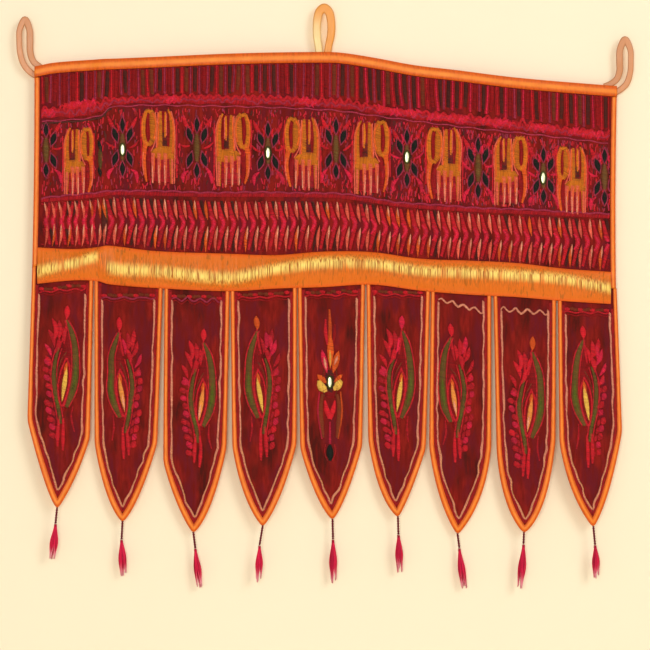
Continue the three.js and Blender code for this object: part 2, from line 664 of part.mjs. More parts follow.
addPiece('header_cloth', headerCloth(), MAROON_COTTON);
addPiece('header_binding_top', topBinding(), ORANGE_SATIN);
addPiece('header_binding_left', sideBinding(HEADER_SIDES.left, 1), ORANGE_SATIN);
addPiece('header_binding_right', sideBinding(HEADER_SIDES.right, -1), ORANGE_SATIN);
addPiece('ribbon', ribbon(), GOLD_SATIN);
FLAGS.forEach((flag, i) => {
  addPiece(`flag_${i + 1}`, flagCloth(flag), MAROON_COTTON);
  addPiece(`flag_binding_${i + 1}`, flagBinding(flag), ORANGE_SATIN);
  addPiece(`tassel_${i + 1}`, tassel(flag, TASSELS[i]), CRIMSON_THREAD);
});
addPiece('loop_left', loop(LOOP_LEFT), LOOP_SATIN);
addPiece('loop_centre', loop(LOOP_CENTRE), LOOP_SATIN);
addPiece('loop_right', loop(LOOP_RIGHT), LOOP_SATIN);
MIRRORS.forEach((place, i) => addPiece(`mirror_${i + 1}`, mirror(place), MIRROR_GLASS));

export default toran;
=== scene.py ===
import math

import bmesh
import bpy
import numpy as np
from bpy.props import FloatProperty, FloatVectorProperty, IntProperty, PointerProperty
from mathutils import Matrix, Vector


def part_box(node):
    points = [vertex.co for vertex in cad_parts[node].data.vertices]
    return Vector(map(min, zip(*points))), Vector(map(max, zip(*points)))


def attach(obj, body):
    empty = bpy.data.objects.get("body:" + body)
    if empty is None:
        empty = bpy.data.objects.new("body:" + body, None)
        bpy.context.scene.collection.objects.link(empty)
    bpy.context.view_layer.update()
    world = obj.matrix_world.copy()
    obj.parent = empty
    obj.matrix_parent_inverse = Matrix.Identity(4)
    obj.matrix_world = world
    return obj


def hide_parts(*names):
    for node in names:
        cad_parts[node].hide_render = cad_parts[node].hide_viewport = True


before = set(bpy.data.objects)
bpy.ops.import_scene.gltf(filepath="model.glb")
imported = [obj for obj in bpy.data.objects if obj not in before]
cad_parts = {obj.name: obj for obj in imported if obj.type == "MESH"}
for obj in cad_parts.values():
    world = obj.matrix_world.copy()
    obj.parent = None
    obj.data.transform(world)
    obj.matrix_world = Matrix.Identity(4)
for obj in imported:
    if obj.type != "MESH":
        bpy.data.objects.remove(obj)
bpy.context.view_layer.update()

bl_info = {
    "name": "Embroidered toran",
    "version": (1, 0, 0),
    "blender": (4, 5, 0),
    "location": "View3D > Sidebar > Toran",
    "description": "Cloth, bindings, tassels and embroidery of a door hanging with nine pointed flags",
    "category": "Object",
}

# Lengths in the tables are millimetres in the hanging's plane: x along the doorway, z up
MM = 0.001
HEADER_CLOTH = 2.0
FLAG_CLOTH = 1.6
SATIN = 1.0
SEWN_GAP = 0.35
SEAM_GAP = 0.8
EDGE_INSET = SATIN + SEWN_GAP

# Stitches on the header stay between these places, and the ends of every stitch sink a little
HEADER_REACH = (-453.0, 458.0)
SUNK = 0.1

# Strips of the flags: distance between stations, gap to the side strips above, height above the
# shoulder at which they begin to widen, and the drop over which they do
STRIP_STEP = 3.6
STRIP_MEETING = 0.05
SPREAD_STARTS = 80.0
SPREAD_OVER = 165.0

# Worn corners: passes of easing, and stations to each side of a flag's point
EASING_PASSES = 5
BLUNT_REACH = 6


def columns(names, *rows):
    """A short table of numbers, kept as one array a named column."""
    values = np.array(rows, float).T
    return dict(zip(names.split(), values))


def each(table):
    """The rows of a table, one after another, as small dictionaries."""
    names = list(table)
    return [dict(zip(names, row)) for row in zip(*(table[name] for name in names))]


HEADER_TOP_EDGE = columns(
    "x z",
    (-463.2, -85.6), (-432, -79.2), (-368, -74.4), (-272, -70.4), (-144, -64.8), (-16, -62.4),
    (25.6, -63.2), (80, -71.2), (144, -83.2), (208, -91.2), (304, -103.2), (468.8, -116.8),
)
LEFT_EDGE = {"top": -463.2, "bottom": -466.4, "drawn_in": 1.0}
RIGHT_EDGE = {"top": 468.8, "bottom": 467.2, "drawn_in": -1.6}

RIBBON = columns(
    "x top bottom ridge",
    (-457, -375, -433, 0.66), (-400, -377.5, -427.6, 0.46), (-361.6, -374.4, -428.8, 0.3),
    (-345.6, -372, -433.6, 0.56), (-268.8, -380.8, -440, 0.54), (-150, -385.2, -445, 0.64),
    (-76.8, -387.2, -440.8, 0.42), (0, -381.6, -438.4, 0.32), (76.8, -382.4, -434.4, 0.36),
    (153.6, -392.8, -444, 0.38), (230.4, -396, -450.4, 0.36), (307.2, -400, -454.4, 0.36),
    (384, -408.8, -460.8, 0.33), (457.6, -414, -465.4, 0.52),
)
RIBBON_CLOTH = 1.4
RIBBON_PUFF = 7.0

# Ends of the ribbon: reach past the table, length that flattens, and least share of that length
RIBBON_REACH = 1.2
RIBBON_TUCK = 9.0
RIBBON_TUCKED = 0.05

FLAGS = each(columns(
    "top_left top_right left_x left_z right_x right_z slant_left slant_right slant_z tip_x tip_z twist bow",
    (-466.4, -369.2, -473.6, -651, -375, -680, -447.6, -398.6, -744, -426.2, -794, 5, -6),
    (-367.6, -257.6, -367.1, -689, -266.8, -688, -347.8, -294.8, -769, -322.4, -816, -4, -3),
    (-254.8, -150.8, -257, -718, -156.2, -696, -235.2, -180.4, -784, -209.2, -833.6, 4, 2),
    (-149.6, -43.8, -146.4, -693, -44.1, -690, -127, -69.1, -769.6, -97.8, -822.6, -3, -5),
    (-42.2, 65.6, -37.9, -696, 60.9, -693, -13.4, 36.6, -768, 13.6, -812.4, 3, 1),
    (67.8, 170, 71, -683, 162.6, -696, 90, 139.9, -761.6, 118.2, -808, -5, -4),
    (171.6, 266.8, 168.4, -693, 267.3, -693, 185.6, 250.2, -774.4, 213.8, -836, 4, 2),
    (270.4, 370.8, 276.3, -699, 369.7, -683, 290.6, 351.8, -779.2, 319.6, -832.8, -4, -2),
    (374.1, 468.3, 376.3, -686, 476.9, -670, 396.2, 455.6, -763, 430.2, -823.6, 5, -7),
))

TASSELS = each(columns(
    "stem_x stem_z end_x end_z",
    (-428.8, -816, -434.5, -876), (-324, -842, -321, -903), (-206, -856, -199, -926),
    (-103, -851, -105, -912), (14.4, -842, 14.6, -913), (119, -834, 120.8, -896),
    (216.8, -856, 224.5, -923), (318.8, -849, 313.8, -921), (433, -850, 434.7, -907),
))

LOOPS = {
    "left": columns(
        "x z half back",
        (-446, -90, 5, 4.6), (-457, -84, 5, 4.6), (-466, -76, 5.2, 4.4), (-470.4, -62, 5.4, 2.4),
        (-470.6, -42, 5.6, 0.4), (-471.4, -26, 5.4, 0), (-478.6, -10.4, 5.6, 0), (-487, -26, 4.6, 0.4),
        (-487.8, -44, 4.6, 1), (-486.4, -64, 4.8, 2), (-480.6, -82, 5, 3.8), (-470.4, -94, 5, 4.6),
        (-457.6, -101.5, 5, 4.6), (-446, -105.6, 5, 4.6),
    ),
    "centre": columns(
        "x z half back",
        (5.6, -82, 6, 4.6), (5.8, -66, 6, 4.6), (7.4, -52, 6, 3.9), (11.2, -34, 6.4, 1.6),
        (11.4, -14, 6.6, 0), (7.6, 2.4, 7, 0), (0.2, 8.2, 7.4, 0), (-7.2, 2.4, 7, 0),
        (-11, -14, 6.6, 0), (-11.2, -36, 6.4, 1.6), (-8.8, -54, 6, 3.9), (-7.4, -67, 6, 4.6),
        (-7.2, -82, 6, 4.6),
    ),
    "right": columns(
        "x z half back",
        (449, -117, 5, 4.6), (460, -112.4, 5, 4.6), (469, -105, 5.2, 4.4), (473.4, -92, 5.4, 2.4),
        (473.2, -76, 5.6, 0.4), (473.8, -58, 5.4, 0), (481.8, -42.4, 5.8, 0), (490.2, -58, 4.8, 0.4),
        (491.2, -76, 4.6, 1), (490, -96, 4.8, 2), (484.2, -113, 5, 3.8), (473, -123, 5, 4.6),
        (460.6, -128, 5, 4.6), (449, -131, 5, 4.6),
    ),
}
LOOP_THICKNESS = 3.4

# Tassels: the two plies of a stem, the turns wound round the neck, and the locks of the skirt
PLY_RADIUS = 1.1
PLY_OFFSET = 0.95
PLY_PITCH = 8.0
WOUND_TURNS = 7
WOUND_HEIGHT = 5.2
WOUND_RADIUS = 0.45
LOCKS = 3
LOCK_REACH = 0.62
GOLDEN_ANGLE = 2.39996

# Folds of the hung cloth, as in the solids
WAVES = each(columns("height length shift lean", (2.4, 430, 60, 0.0004), (1.3, 262, -30, 0.0011)))
CREASE = {"x": -354.0, "height": -3.4, "spread": 14.0, "fade_from": 2.0, "fade_to": 22.0}

# Heights of the embroidered bands at places along the header
BANDS = columns(
    "x bars_end scallops_end line fern_top fern_middle fern_end",
    (-461, -149, -173, -297.6, -304, -333, -374), (-358, -138, -163, -288, -297.6, -333, -373),
    (-342, -133, -149, -285, -294.4, -332, -371), (-198, -128, -147, -288, -300, -336, -382.5),
    (10, -134, -153.6, -289.6, -302, -335, -381), (70, -142, -161, -296, -306, -341, -381.5),
    (122, -150, -168, -304, -312, -348, -388), (234, -160, -182.4, -312, -320, -356, -395.5),
    (346, -174, -194, -317, -326.4, -362.5, -403.5), (466, -187, -208, -323, -331, -369, -414),
)

# Elephants: their upright boxes, and 1 where the head is on the right
ELEPHANTS = each(columns(
    "left right top bottom faces",
    (-416, -369.6, -184, -291.2, 1), (-291.2, -238.4, -155.2, -275.2, -1),
    (-172.8, -118.4, -161.6, -278.4, 1), (-62.4, -8, -168, -283.2, -1), (48, 104, -172.8, -291.2, 1),
    (164.8, 219.2, -184, -302.4, -1), (272, 324.8, -198.4, -308.8, 1), (372.8, 419.2, -214.4, -321.6, -1),
))
STARS = each(columns(
    "x z half",
    (-444.8, -219, 44), (-322.6, -214, 48), (-203.2, -215.5, 50), (-89.6, -221, 47), (19.2, -217, 49),
    (132.8, -232, 47), (246.4, -248, 50), (351, -260, 45), (449, -262, 46),
))

# Paisleys: middle of the flame, height against the first one, 1 where the heavy leaf is on the right,
# 1 where the flame is yellow, and 0 to 2 for a crimson, pink or orange red bud
PAISLEYS = each(columns(
    "flag x z tall faces yellow bud",
    (0, -416, -594, 1.0, 1, 1, 0), (1, -323, -611, 0.98, -1, 0, 0), (2, -197, -626, 0.96, 1, 0, 0),
    (3, -102, -611, 1.0, -1, 1, 2), (5, 120, -611, 1.0, 1, 1, 1), (6, 208, -619, 0.96, -1, 0, 0),
    (7, 328, -643, 0.98, 1, 0, 2), (8, 420, -624, 0.98, -1, 1, 0),
))
FLOWER_FLAG = 4
FLOWER_MIRROR = 5

# Top row of each flag: its height at the left and right, its waves, and the thread it is worked in
FLAG_TOPS = each(columns(
    "left_z right_z waves height bold",
    (-447, -440, 3, 1.2, 0), (-456, -456, 3, 1.4, 1), (-457, -460, 4, 3.0, 1), (-456, -452, 3, 1.4, 0),
    (-452, -450, 3, 1.4, 0), (-450, -452, 3, 1.6, 0), (-458, -478, 4, 3.4, 2), (-474, -480, 4, 3.6, 2),
    (-478, -480, 3, 1.2, 0),
))

THREADS = [
    "deep_red", "crimson", "rose", "coral", "salmon", "blush", "gold", "orange", "amber", "flame",
    "olive", "leaf_green", "bottle_green", "brown", "umber",
]

# The camera, in metres: its distance, the width that it sees, and the place it looks at
VIEW_DISTANCE = 4.0
VIEW_WIDTH = 1.04
VIEW_X = 0.0016
VIEW_Z = -0.499


def to_linear(code):
    """Linear red, green and blue of a hexadecimal colour code."""
    parts = [int(code[i:i + 2], 16) / 255 for i in (0, 2, 4)]
    return tuple(p / 12.92 if p <= 0.04045 else ((p + 0.055) / 1.055) ** 2.4 for p in parts)


def colour(label, code, words):
    """A colour that a user may change."""
    return FloatVectorProperty(
        name=label, description=words, default=to_linear(code), subtype="COLOR", size=3, min=0, max=1)


class ToranSizes(bpy.types.PropertyGroup):
    """Widths and thread sizes of the hanging, in millimetres."""

    top_binding: FloatProperty(
        name="Top binding", description="Width of the satin strip on the top edge", default=17.0, min=5)
    side_binding: FloatProperty(
        name="Side binding", description="Width of the strips on the header's sides", default=8.0, min=3)
    flag_binding: FloatProperty(
        name="Flag binding", description="Width of the satin strips round the flags", default=6.0, min=3)
    strip_spread: FloatProperty(
        name="Strip spread", description="Extra width of the strips at the points", default=3.4, min=0)
    thread: FloatProperty(
        name="Thread", description="Width of an embroidery thread", default=1.3, min=0.5, max=3)
    stitch_step: FloatProperty(
        name="Stitch step", description="Distance between neighbouring satin stitches", default=1.1, min=0.5)
    bar_step: FloatProperty(
        name="Bar step", description="Distance between the upright bars", default=13.9, min=6)
    fern_step: FloatProperty(
        name="Fern step", description="Distance between the slanting leaves of the lower border",
        default=16.2, min=6)
    tassel_threads: IntProperty(
        name="Tassel threads", description="Threads in the skirt of one tassel", default=120, min=20, max=300)
    tassel_radius: FloatProperty(
        name="Tassel radius", description="Radius of a tassel at its fullest", default=6.8, min=2)


class ToranColours(bpy.types.PropertyGroup):
    """Colours of the cloths, threads and mirrors."""

    ground: colour("Ground", "8e1c14", "Cotton of the header and the flags")
    ground_dark: colour("Dark ground", "4c130c", "Browner patches of the cotton")
    ground_plum: colour("Plum ground", "6c1620", "Plum patches of the cotton")
    binding: colour("Binding", "de5e0c", "Satin of the bindings")
    # Painted highlight: the paler middle of each satin strip
    binding_painted_sheen: colour("Binding sheen", "f68c2c", "Paler middle of a satin strip")
    ribbon: colour("Ribbon", "da6a0a", "Satin of the wide ribbon")
    # Painted highlight: the pale gold ridge of the ribbon
    ribbon_painted_sheen: colour("Ribbon sheen", "ffe070", "Pale gold ridge of the ribbon")
    ribbon_edge: colour("Ribbon edge", "f0601c", "Redder edges of the ribbon")
    # Olive gold threads of the ribbon, also used for painted shade in the creases of its gathers
    ribbon_shade: colour("Ribbon shade", "965806", "Olive gold threads of the ribbon")
    # The outer loops' satin, browned and darkened with painted shade
    loop_side: colour("Side loops", "cf8a58", "Satin of the outer loops")
    loop_centre: colour("Centre loop", "ee9a38", "Satin of the centre loop")
    # Painted highlight: the pale length of the centre loop
    loop_pale: colour("Loop sheen", "f8e2a0", "Pale length of the centre loop")
    yarn: colour("Yarn", "de1e4a", "Yarn of the tassels")
    # Painted highlight: the pale pink ends of the tassels' threads
    yarn_painted_highlight: colour("Pale yarn", "fbb4be", "Splayed ends of the tassels")
    mirror: colour("Mirror", "dfe0b6", "Small mirrors")
    deep_red: colour("Deep red thread", "960408", "Red thread beside the bindings")
    crimson: colour("Crimson thread", "ca1624", "Main red thread")
    rose: colour("Rose thread", "da1c40", "Bright pink red thread")
    salmon: colour("Salmon thread", "ff9474", "Salmon thread of leaves and legs")
    coral: colour("Coral thread", "ff6048", "Coral thread of the ferns and legs")
    amber: colour("Amber thread", "ff8c3c", "Amber thread of the redder flames")
    blush: colour("Blush thread", "a82c48", "Dull pink thread of the bars")
    gold: colour("Gold thread", "cc700e", "Golden thread of the elephants")
    orange: colour("Orange thread", "fa5c18", "Orange thread of the outlines")
    flame: colour("Flame thread", "ffae48", "Yellow orange thread of the flames")
    olive: colour("Olive thread", "6e521c", "Olive thread")
    leaf_green: colour("Leaf green thread", "5c620e", "Green thread of the paisleys")
    bottle_green: colour("Bottle green thread", "15170d", "Nearly black green thread")
    brown: colour("Brown thread", "782e10", "Brown thread of the saddles")
    umber: colour("Umber thread", "521c10", "Dark brown thread between the bars")


def smoothstep(value):
    """Soft change from 0 to 1."""
    value = np.clip(value, 0, 1)
    return value * value * (3 - 2 * value)


def along(table, column, x):
    """Smooth value of one column of a table, whose rows run along x."""
    places = table["x"]
    values = table[column]
    x = np.asarray(x, float)
    row = np.clip(np.searchsorted(places, x, side="left") - 1, 0, len(places) - 2)
    before = np.maximum(np.arange(len(places)) - 1, 0)
    after = np.minimum(np.arange(len(places)) + 1, len(places) - 1)
    slope = (values[after] - values[before]) / (places[after] - places[before])
    span = places[row + 1] - places[row]
    t = np.clip((x - places[row]) / span, 0, 1)
    rise = values[row + 1] - values[row]
    start_turn = slope[row] * span - rise
    end_turn = rise - slope[row + 1] * span
    return values[row] + rise * t + t * (1 - t) * (start_turn * (1 - t) + end_turn * t)


def seam_height(x):
    """Lower edge of the header, under the middle of the ribbon."""
    return (along(RIBBON, "top", x) + along(RIBBON, "bottom", x)) / 2


def fold(x, z):
    """How far the cloth stands out of its plane, as in the solids."""
    y = np.zeros(np.broadcast(x, z).shape)
    for wave in WAVES:
        turn = 2 * math.pi * (x + wave["shift"]) / wave["length"] + wave["lean"] * z * math.pi
        y = y + wave["height"] * np.sin(turn)
    span = CREASE["fade_to"] - CREASE["fade_from"]
    fade = smoothstep((z - seam_height(x) - CREASE["fade_from"]) / span)
    away = (x - CREASE["x"]) / CREASE["spread"]
    return y + CREASE["height"] * fade * np.exp(-away * away)


def flag_fold(flag):
    """The fold of one flag, whose point turns and swings out of the plane."""
    top = seam_height((flag["top_left"] + flag["top_right"]) / 2)
    half = (flag["top_right"] - flag["top_left"]) / 2

    def fold_at(x, z):
        drop = np.clip((top - z) / (top - flag["tip_z"]), 0, 1)
        side = (x - flag["tip_x"]) / half
        return fold(x, z) + drop * drop * (flag["bow"] + flag["twist"] * side)
    return fold_at


def side_edge(side, share):
    """Outer side edge of the header at a share of its height."""
    return side["top"] + (side["bottom"] - side["top"]) * share + side["drawn_in"] * 4 * share * (1 - share)


def puckers(x, z, height):
    """Small unevenness that close stitching gives to cloth."""
    wide = np.sin(x / 5.1 + 1.7 * np.sin(z / 17)) * np.sin(z / 6.3 + 1.3 * np.sin(x / 23))
    fine = np.sin(x / 2.3 + z / 4.1) * np.sin(z / 2.9 - x / 7.7)
    return height * (0.7 * wide + 0.3 * fine)


# Lines in the plane

def smooth_line(points):
    """A smooth line through a few points."""
    points = np.asarray(points, float)
    if len(points) < 3:
        return points
    padded = np.vstack([2 * points[0] - points[1], points, 2 * points[-1] - points[-2]])
    t = np.linspace(0, 1, 12, endpoint=False)[:, None]
    pieces = []
    for a, b, c, d in zip(padded, padded[1:], padded[2:], padded[3:]):
        pieces.append(0.5 * (2 * b + (c - a) * t + (2 * a - 5 * b + 4 * c - d) * t ** 2
                             + (3 * b - a - 3 * c + d) * t ** 3))
    return np.vstack(pieces + [points[-1:]])


def evenly(line, step):
    """Points at even steps along a line, and the share of the line at which each lies."""
    line = np.asarray(line, float)
    run = np.concatenate([[0], np.cumsum(np.linalg.norm(np.diff(line, axis=0), axis=1))])
    count = max(int(round(run[-1] / step)), 1)
    at = np.linspace(0, run[-1], count + 1)
    spread = np.column_stack([np.interp(at, run, line[:, i]) for i in range(line.shape[1])])
    return spread, at / run[-1]


def eased(line):
    """A line whose inner points have moved toward the points beside them."""
    line = line.copy()
    for _ in range(EASING_PASSES):
        line[1:-1] = (line[:-2] + 2 * line[1:-1] + line[2:]) / 4
    return line


def directions(points):
    """Unit directions along a line of points."""
    ways = np.gradient(points, axis=0)
    return ways / np.maximum(np.linalg.norm(ways, axis=1), 1e-9)[:, None]


def sideways(points):
    """Unit directions square to a line of points, to its left."""
    ways = directions(points)
    return np.column_stack([-ways[:, 1], ways[:, 0]])


def flag_arm(flag, side, step):
    """One side of a flag's outline, from the seam past the shoulder to the point."""
    top_x = flag["top_" + side]
    top = np.array([top_x, seam_height(top_x) - SEAM_GAP])
    shoulder = np.array([flag[side + "_x"], flag[side + "_z"]])
    middle = np.array([flag["slant_" + side], flag["slant_z"]])
    tip = np.array([flag["tip_x"], flag["tip_z"]])
    bend = 2 * middle - shoulder / 2 - tip / 2
    t = np.linspace(0, 1, 60)[:, None]
    slant = shoulder * (1 - t) ** 2 + 2 * bend * t * (1 - t) + tip * t ** 2
    straight = top + (shoulder - top) * np.linspace(0, 1, 60, endpoint=False)[:, None]
    return eased(evenly(np.vstack([straight, slant]), step)[0])


def flag_stations(flag, width, step=3.0, spread=0.0):
    """Outer and inner points round a flag at one width, which spreads toward the point."""
    arms = []
    for side, turn in (("left", 1), ("right", -1)):
        outer = flag_arm(flag, side, step)
        past = np.clip((flag[side + "_z"] + SPREAD_STARTS - outer[:, 1]) / SPREAD_OVER, 0, 1)
        arms.append((outer, outer + sideways(outer) * (width + spread * past)[:, None] * turn))
    heights = np.linspace(flag["slant_z"] + 30, flag["tip_z"], 3000)
    left_x, right_x = (np.interp(-heights, -inner[:, 1], inner[:, 0]) for _, inner in arms)
    meets = np.argmax(left_x >= right_x)
    corner = np.array([left_x[meets], heights[meets]])
    for _, inner in arms:
        inner[inner[:, 1] < corner[1]] = corner
    outers = np.vstack([arms[0][0], arms[1][0][-2::-1]])
    inners = np.vstack([arms[0][1], arms[1][1][-2::-1]])
    return outers, inners


def blunted(line):
    """A line whose sharp middle is worn round."""
    line = line.copy()
    near = slice(len(line) // 2 - BLUNT_REACH, len(line) // 2 + BLUNT_REACH + 1)
    line[near] = eased(line[near])
    return line


def inset_line(flag, sizes, distance):
    """A line that runs round a flag at a distance inside its strip."""
    inner = flag_stations(flag, sizes.flag_binding + distance, spread=sizes.strip_spread)[1]
    moved = np.concatenate([[True], np.linalg.norm(np.diff(inner, axis=0), axis=1) > 0.05])
    return inner[moved]


# Meshes

def new_piece(name, points, faces, finishes, values=None, face_finish=None):
    """One mesh object in metres, with its finishes and its surface values."""
    mesh = bpy.data.meshes.new(name)
    corners = np.concatenate([np.asarray(block).ravel() for block in faces])
    sizes = np.concatenate([np.full(len(block), block.shape[1]) for block in faces])
    starts = np.concatenate([[0], np.cumsum(sizes)[:-1]])
    mesh.vertices.add(len(points))
    mesh.vertices.foreach_set("co", (np.asarray(points) * MM).astype(np.float32).ravel())
    mesh.loops.add(len(corners))
    mesh.loops.foreach_set("vertex_index", corners.astype(np.int32))
    mesh.polygons.add(len(sizes))
    mesh.polygons.foreach_set("loop_start", starts.astype(np.int32))
    if face_finish is not None:
        mesh.polygons.foreach_set("material_index", face_finish.astype(np.int32))
    mesh.update(calc_edges=True)
    mesh.validate()
    mesh.shade_smooth()
    if values is not None:
        layer = mesh.attributes.new("strand", "FLOAT_VECTOR", "POINT")
        layer.data.foreach_set("vector", np.asarray(values, np.float32).ravel())
    piece = bpy.data.objects.new(name, mesh)
    bpy.context.collection.objects.link(piece)
    for finish in finishes:
        mesh.materials.append(finish)
    return piece


def turn_faces_out(piece):
    """Faces of a closed mesh point outwards."""
    work = bmesh.new()
    work.from_mesh(piece.data)
    bmesh.ops.recalc_face_normals(work, faces=work.faces)
    work.to_mesh(piece.data)
    work.free()


def sharpen(piece, degrees):
    """Edges steeper than an angle stay crisp."""
    bpy.ops.object.select_all(action="DESELECT")
    piece.select_set(True)
    bpy.context.view_layer.objects.active = piece
    bpy.ops.object.shade_smooth_by_angle(angle=math.radians(degrees))
    piece.select_set(False)


def grid_faces(rows, sides, around):
    """Four-cornered faces of a grid of points, closed around its rows if asked."""
    row, side = np.meshgrid(np.arange(rows - 1), np.arange(sides if around else sides - 1), indexing="ij")
    following = (side + 1) % sides
    quads = np.stack([row * sides + side, row * sides + following,
                      (row + 1) * sides + following, (row + 1) * sides + side], axis=-1)
    return quads.reshape(-1, 4)


def swept_piece(name, sections, values, finish):
    """Closed tube through sections, each of the same number of points."""
    rows, sides = sections.shape[:2]
    ends = np.array([np.arange(sides)[::-1], np.arange(sides) + (rows - 1) * sides])
    piece = new_piece(name, sections.reshape(-1, 3), [grid_faces(rows, sides, True), ends],
                      [finish], values.reshape(-1, 3))
    turn_faces_out(piece)
    return piece


def sheet_piece(name, x, z, fold_at, thickness, finish, relief):
    """Closed sheet of cloth over a grid of places in the plane."""
    rows, sides = x.shape
    middle = fold_at(x, z)
    row_share = np.linspace(0, 1, rows)[:, None]
    side_share = np.linspace(0, 1, sides)[None, :]
    from_ends = np.minimum(row_share, 1 - row_share) * 12
    from_sides = np.minimum(side_share, 1 - side_share) * 30
    middle = middle + puckers(x, z, relief) * np.clip(np.minimum(from_ends, from_sides), 0, 1)
    front = np.stack([x, middle - thickness / 2, z], axis=-1).reshape(-1, 3)
    back = np.stack([x, middle + thickness / 2, z], axis=-1).reshape(-1, 3)
    count = rows * sides
    quads = grid_faces(rows, sides, False)
    grid = np.arange(count).reshape(rows, sides)
    rim = np.concatenate([grid[0, :-1], grid[:-1, -1], grid[-1, :0:-1], grid[:0:-1, 0]])
    following = np.roll(rim, -1)
    edge = np.stack([rim, following, following + count, rim + count], axis=-1)
    piece = new_piece(name, np.vstack([front, back]), [quads[:, ::-1], quads + count, edge], [finish])
    turn_faces_out(piece)
    return piece


def strip_profile(width, cloth, dome):
    """Rounded section of a folded strip: distance in from the edge, depth, and share across the front."""
    channel = cloth / 2 + SEWN_GAP
    face = channel + SATIN
    shares = np.linspace(1, 0.4 * face / width, 7)
    front = [(s * width, -face - dome * math.sin(math.pi * s) ** 0.8, s) for s in shares]
    turns = np.linspace(-60, 60, 5)
    rounding = [(0.4 * face * (1 - math.cos(math.radians(t))) - 0.3, face * math.sin(math.radians(t)), 0.08)
                for t in turns]
    back = [(s * width, face, s) for s in shares[::-1]]
    inside = [(width, channel, 1), (SATIN, channel, 0), (SATIN, -channel, 0), (width, -channel, 1)]
    return np.array(front + rounding + back + inside)


def strip_piece(name, outers, inners, profile, width, fold_at, finish):
    """Folded satin strip round an edge, slightly drawn in along its row of sewing."""
    run = np.concatenate([[0], np.cumsum(np.linalg.norm(np.diff(outers, axis=0), axis=1))])
    here = np.linalg.norm(inners - outers, axis=1)[:, None]
    share = np.where(profile[:, 0] > SATIN * 1.1, profile[:, 0] / width, profile[:, 0] / here)[:, :, None]
    flat = outers[:, None] + (inners - outers)[:, None] * share
    pull = 0.16 * np.sin(run / 1.9 + 1.6 * np.sin(run / 21))[:, None] * profile[None, :, 2]
    depth = np.repeat(profile[None, :, 1], len(run), axis=0)
    depth = depth + np.where(depth < 0, -pull, pull)
    y = fold_at(flat[:, :, 0], flat[:, :, 1]) + depth
    sections = np.stack([flat[:, :, 0], y, flat[:, :, 1]], axis=-1)
    values = np.stack([np.broadcast_to(run[:, None], y.shape),
                       np.broadcast_to(profile[None, :, 2], y.shape),
                       np.broadcast_to(outers[:, :1] * 0.01, y.shape)], axis=-1)
    return swept_piece(name, sections, values, finish)


def yarn_tubes(paths, radius, sides):
    """Points, faces and values of many thin round threads."""
    threads, steps = paths.shape[:2]
    angles = np.arange(sides) * 2 * math.pi / sides
    ring = np.stack([np.cos(angles), np.sin(angles), np.zeros(sides)], axis=-1)
    radius = np.broadcast_to(radius, (threads, steps))
    points = paths[:, :, None] + ring * radius[:, :, None, None]
    one = grid_faces(steps, sides, True)
    shift = (np.arange(threads) * steps * sides)[:, None, None]
    quads = (one[None] + shift).reshape(-1, 4)
    caps = np.array([np.arange(sides)[::-1], np.arange(sides) + (steps - 1) * sides])
    ends = (caps[None] + shift).reshape(-1, sides)
    run = np.broadcast_to(np.linspace(0, 1, steps)[None, :, None], points.shape[:3])
    turn = np.broadcast_to(np.arange(sides) / sides, points.shape[:3])
    return points.reshape(-1, 3), quads, ends, np.stack([run, turn], axis=-1).reshape(-1, 2)


# Embroidery

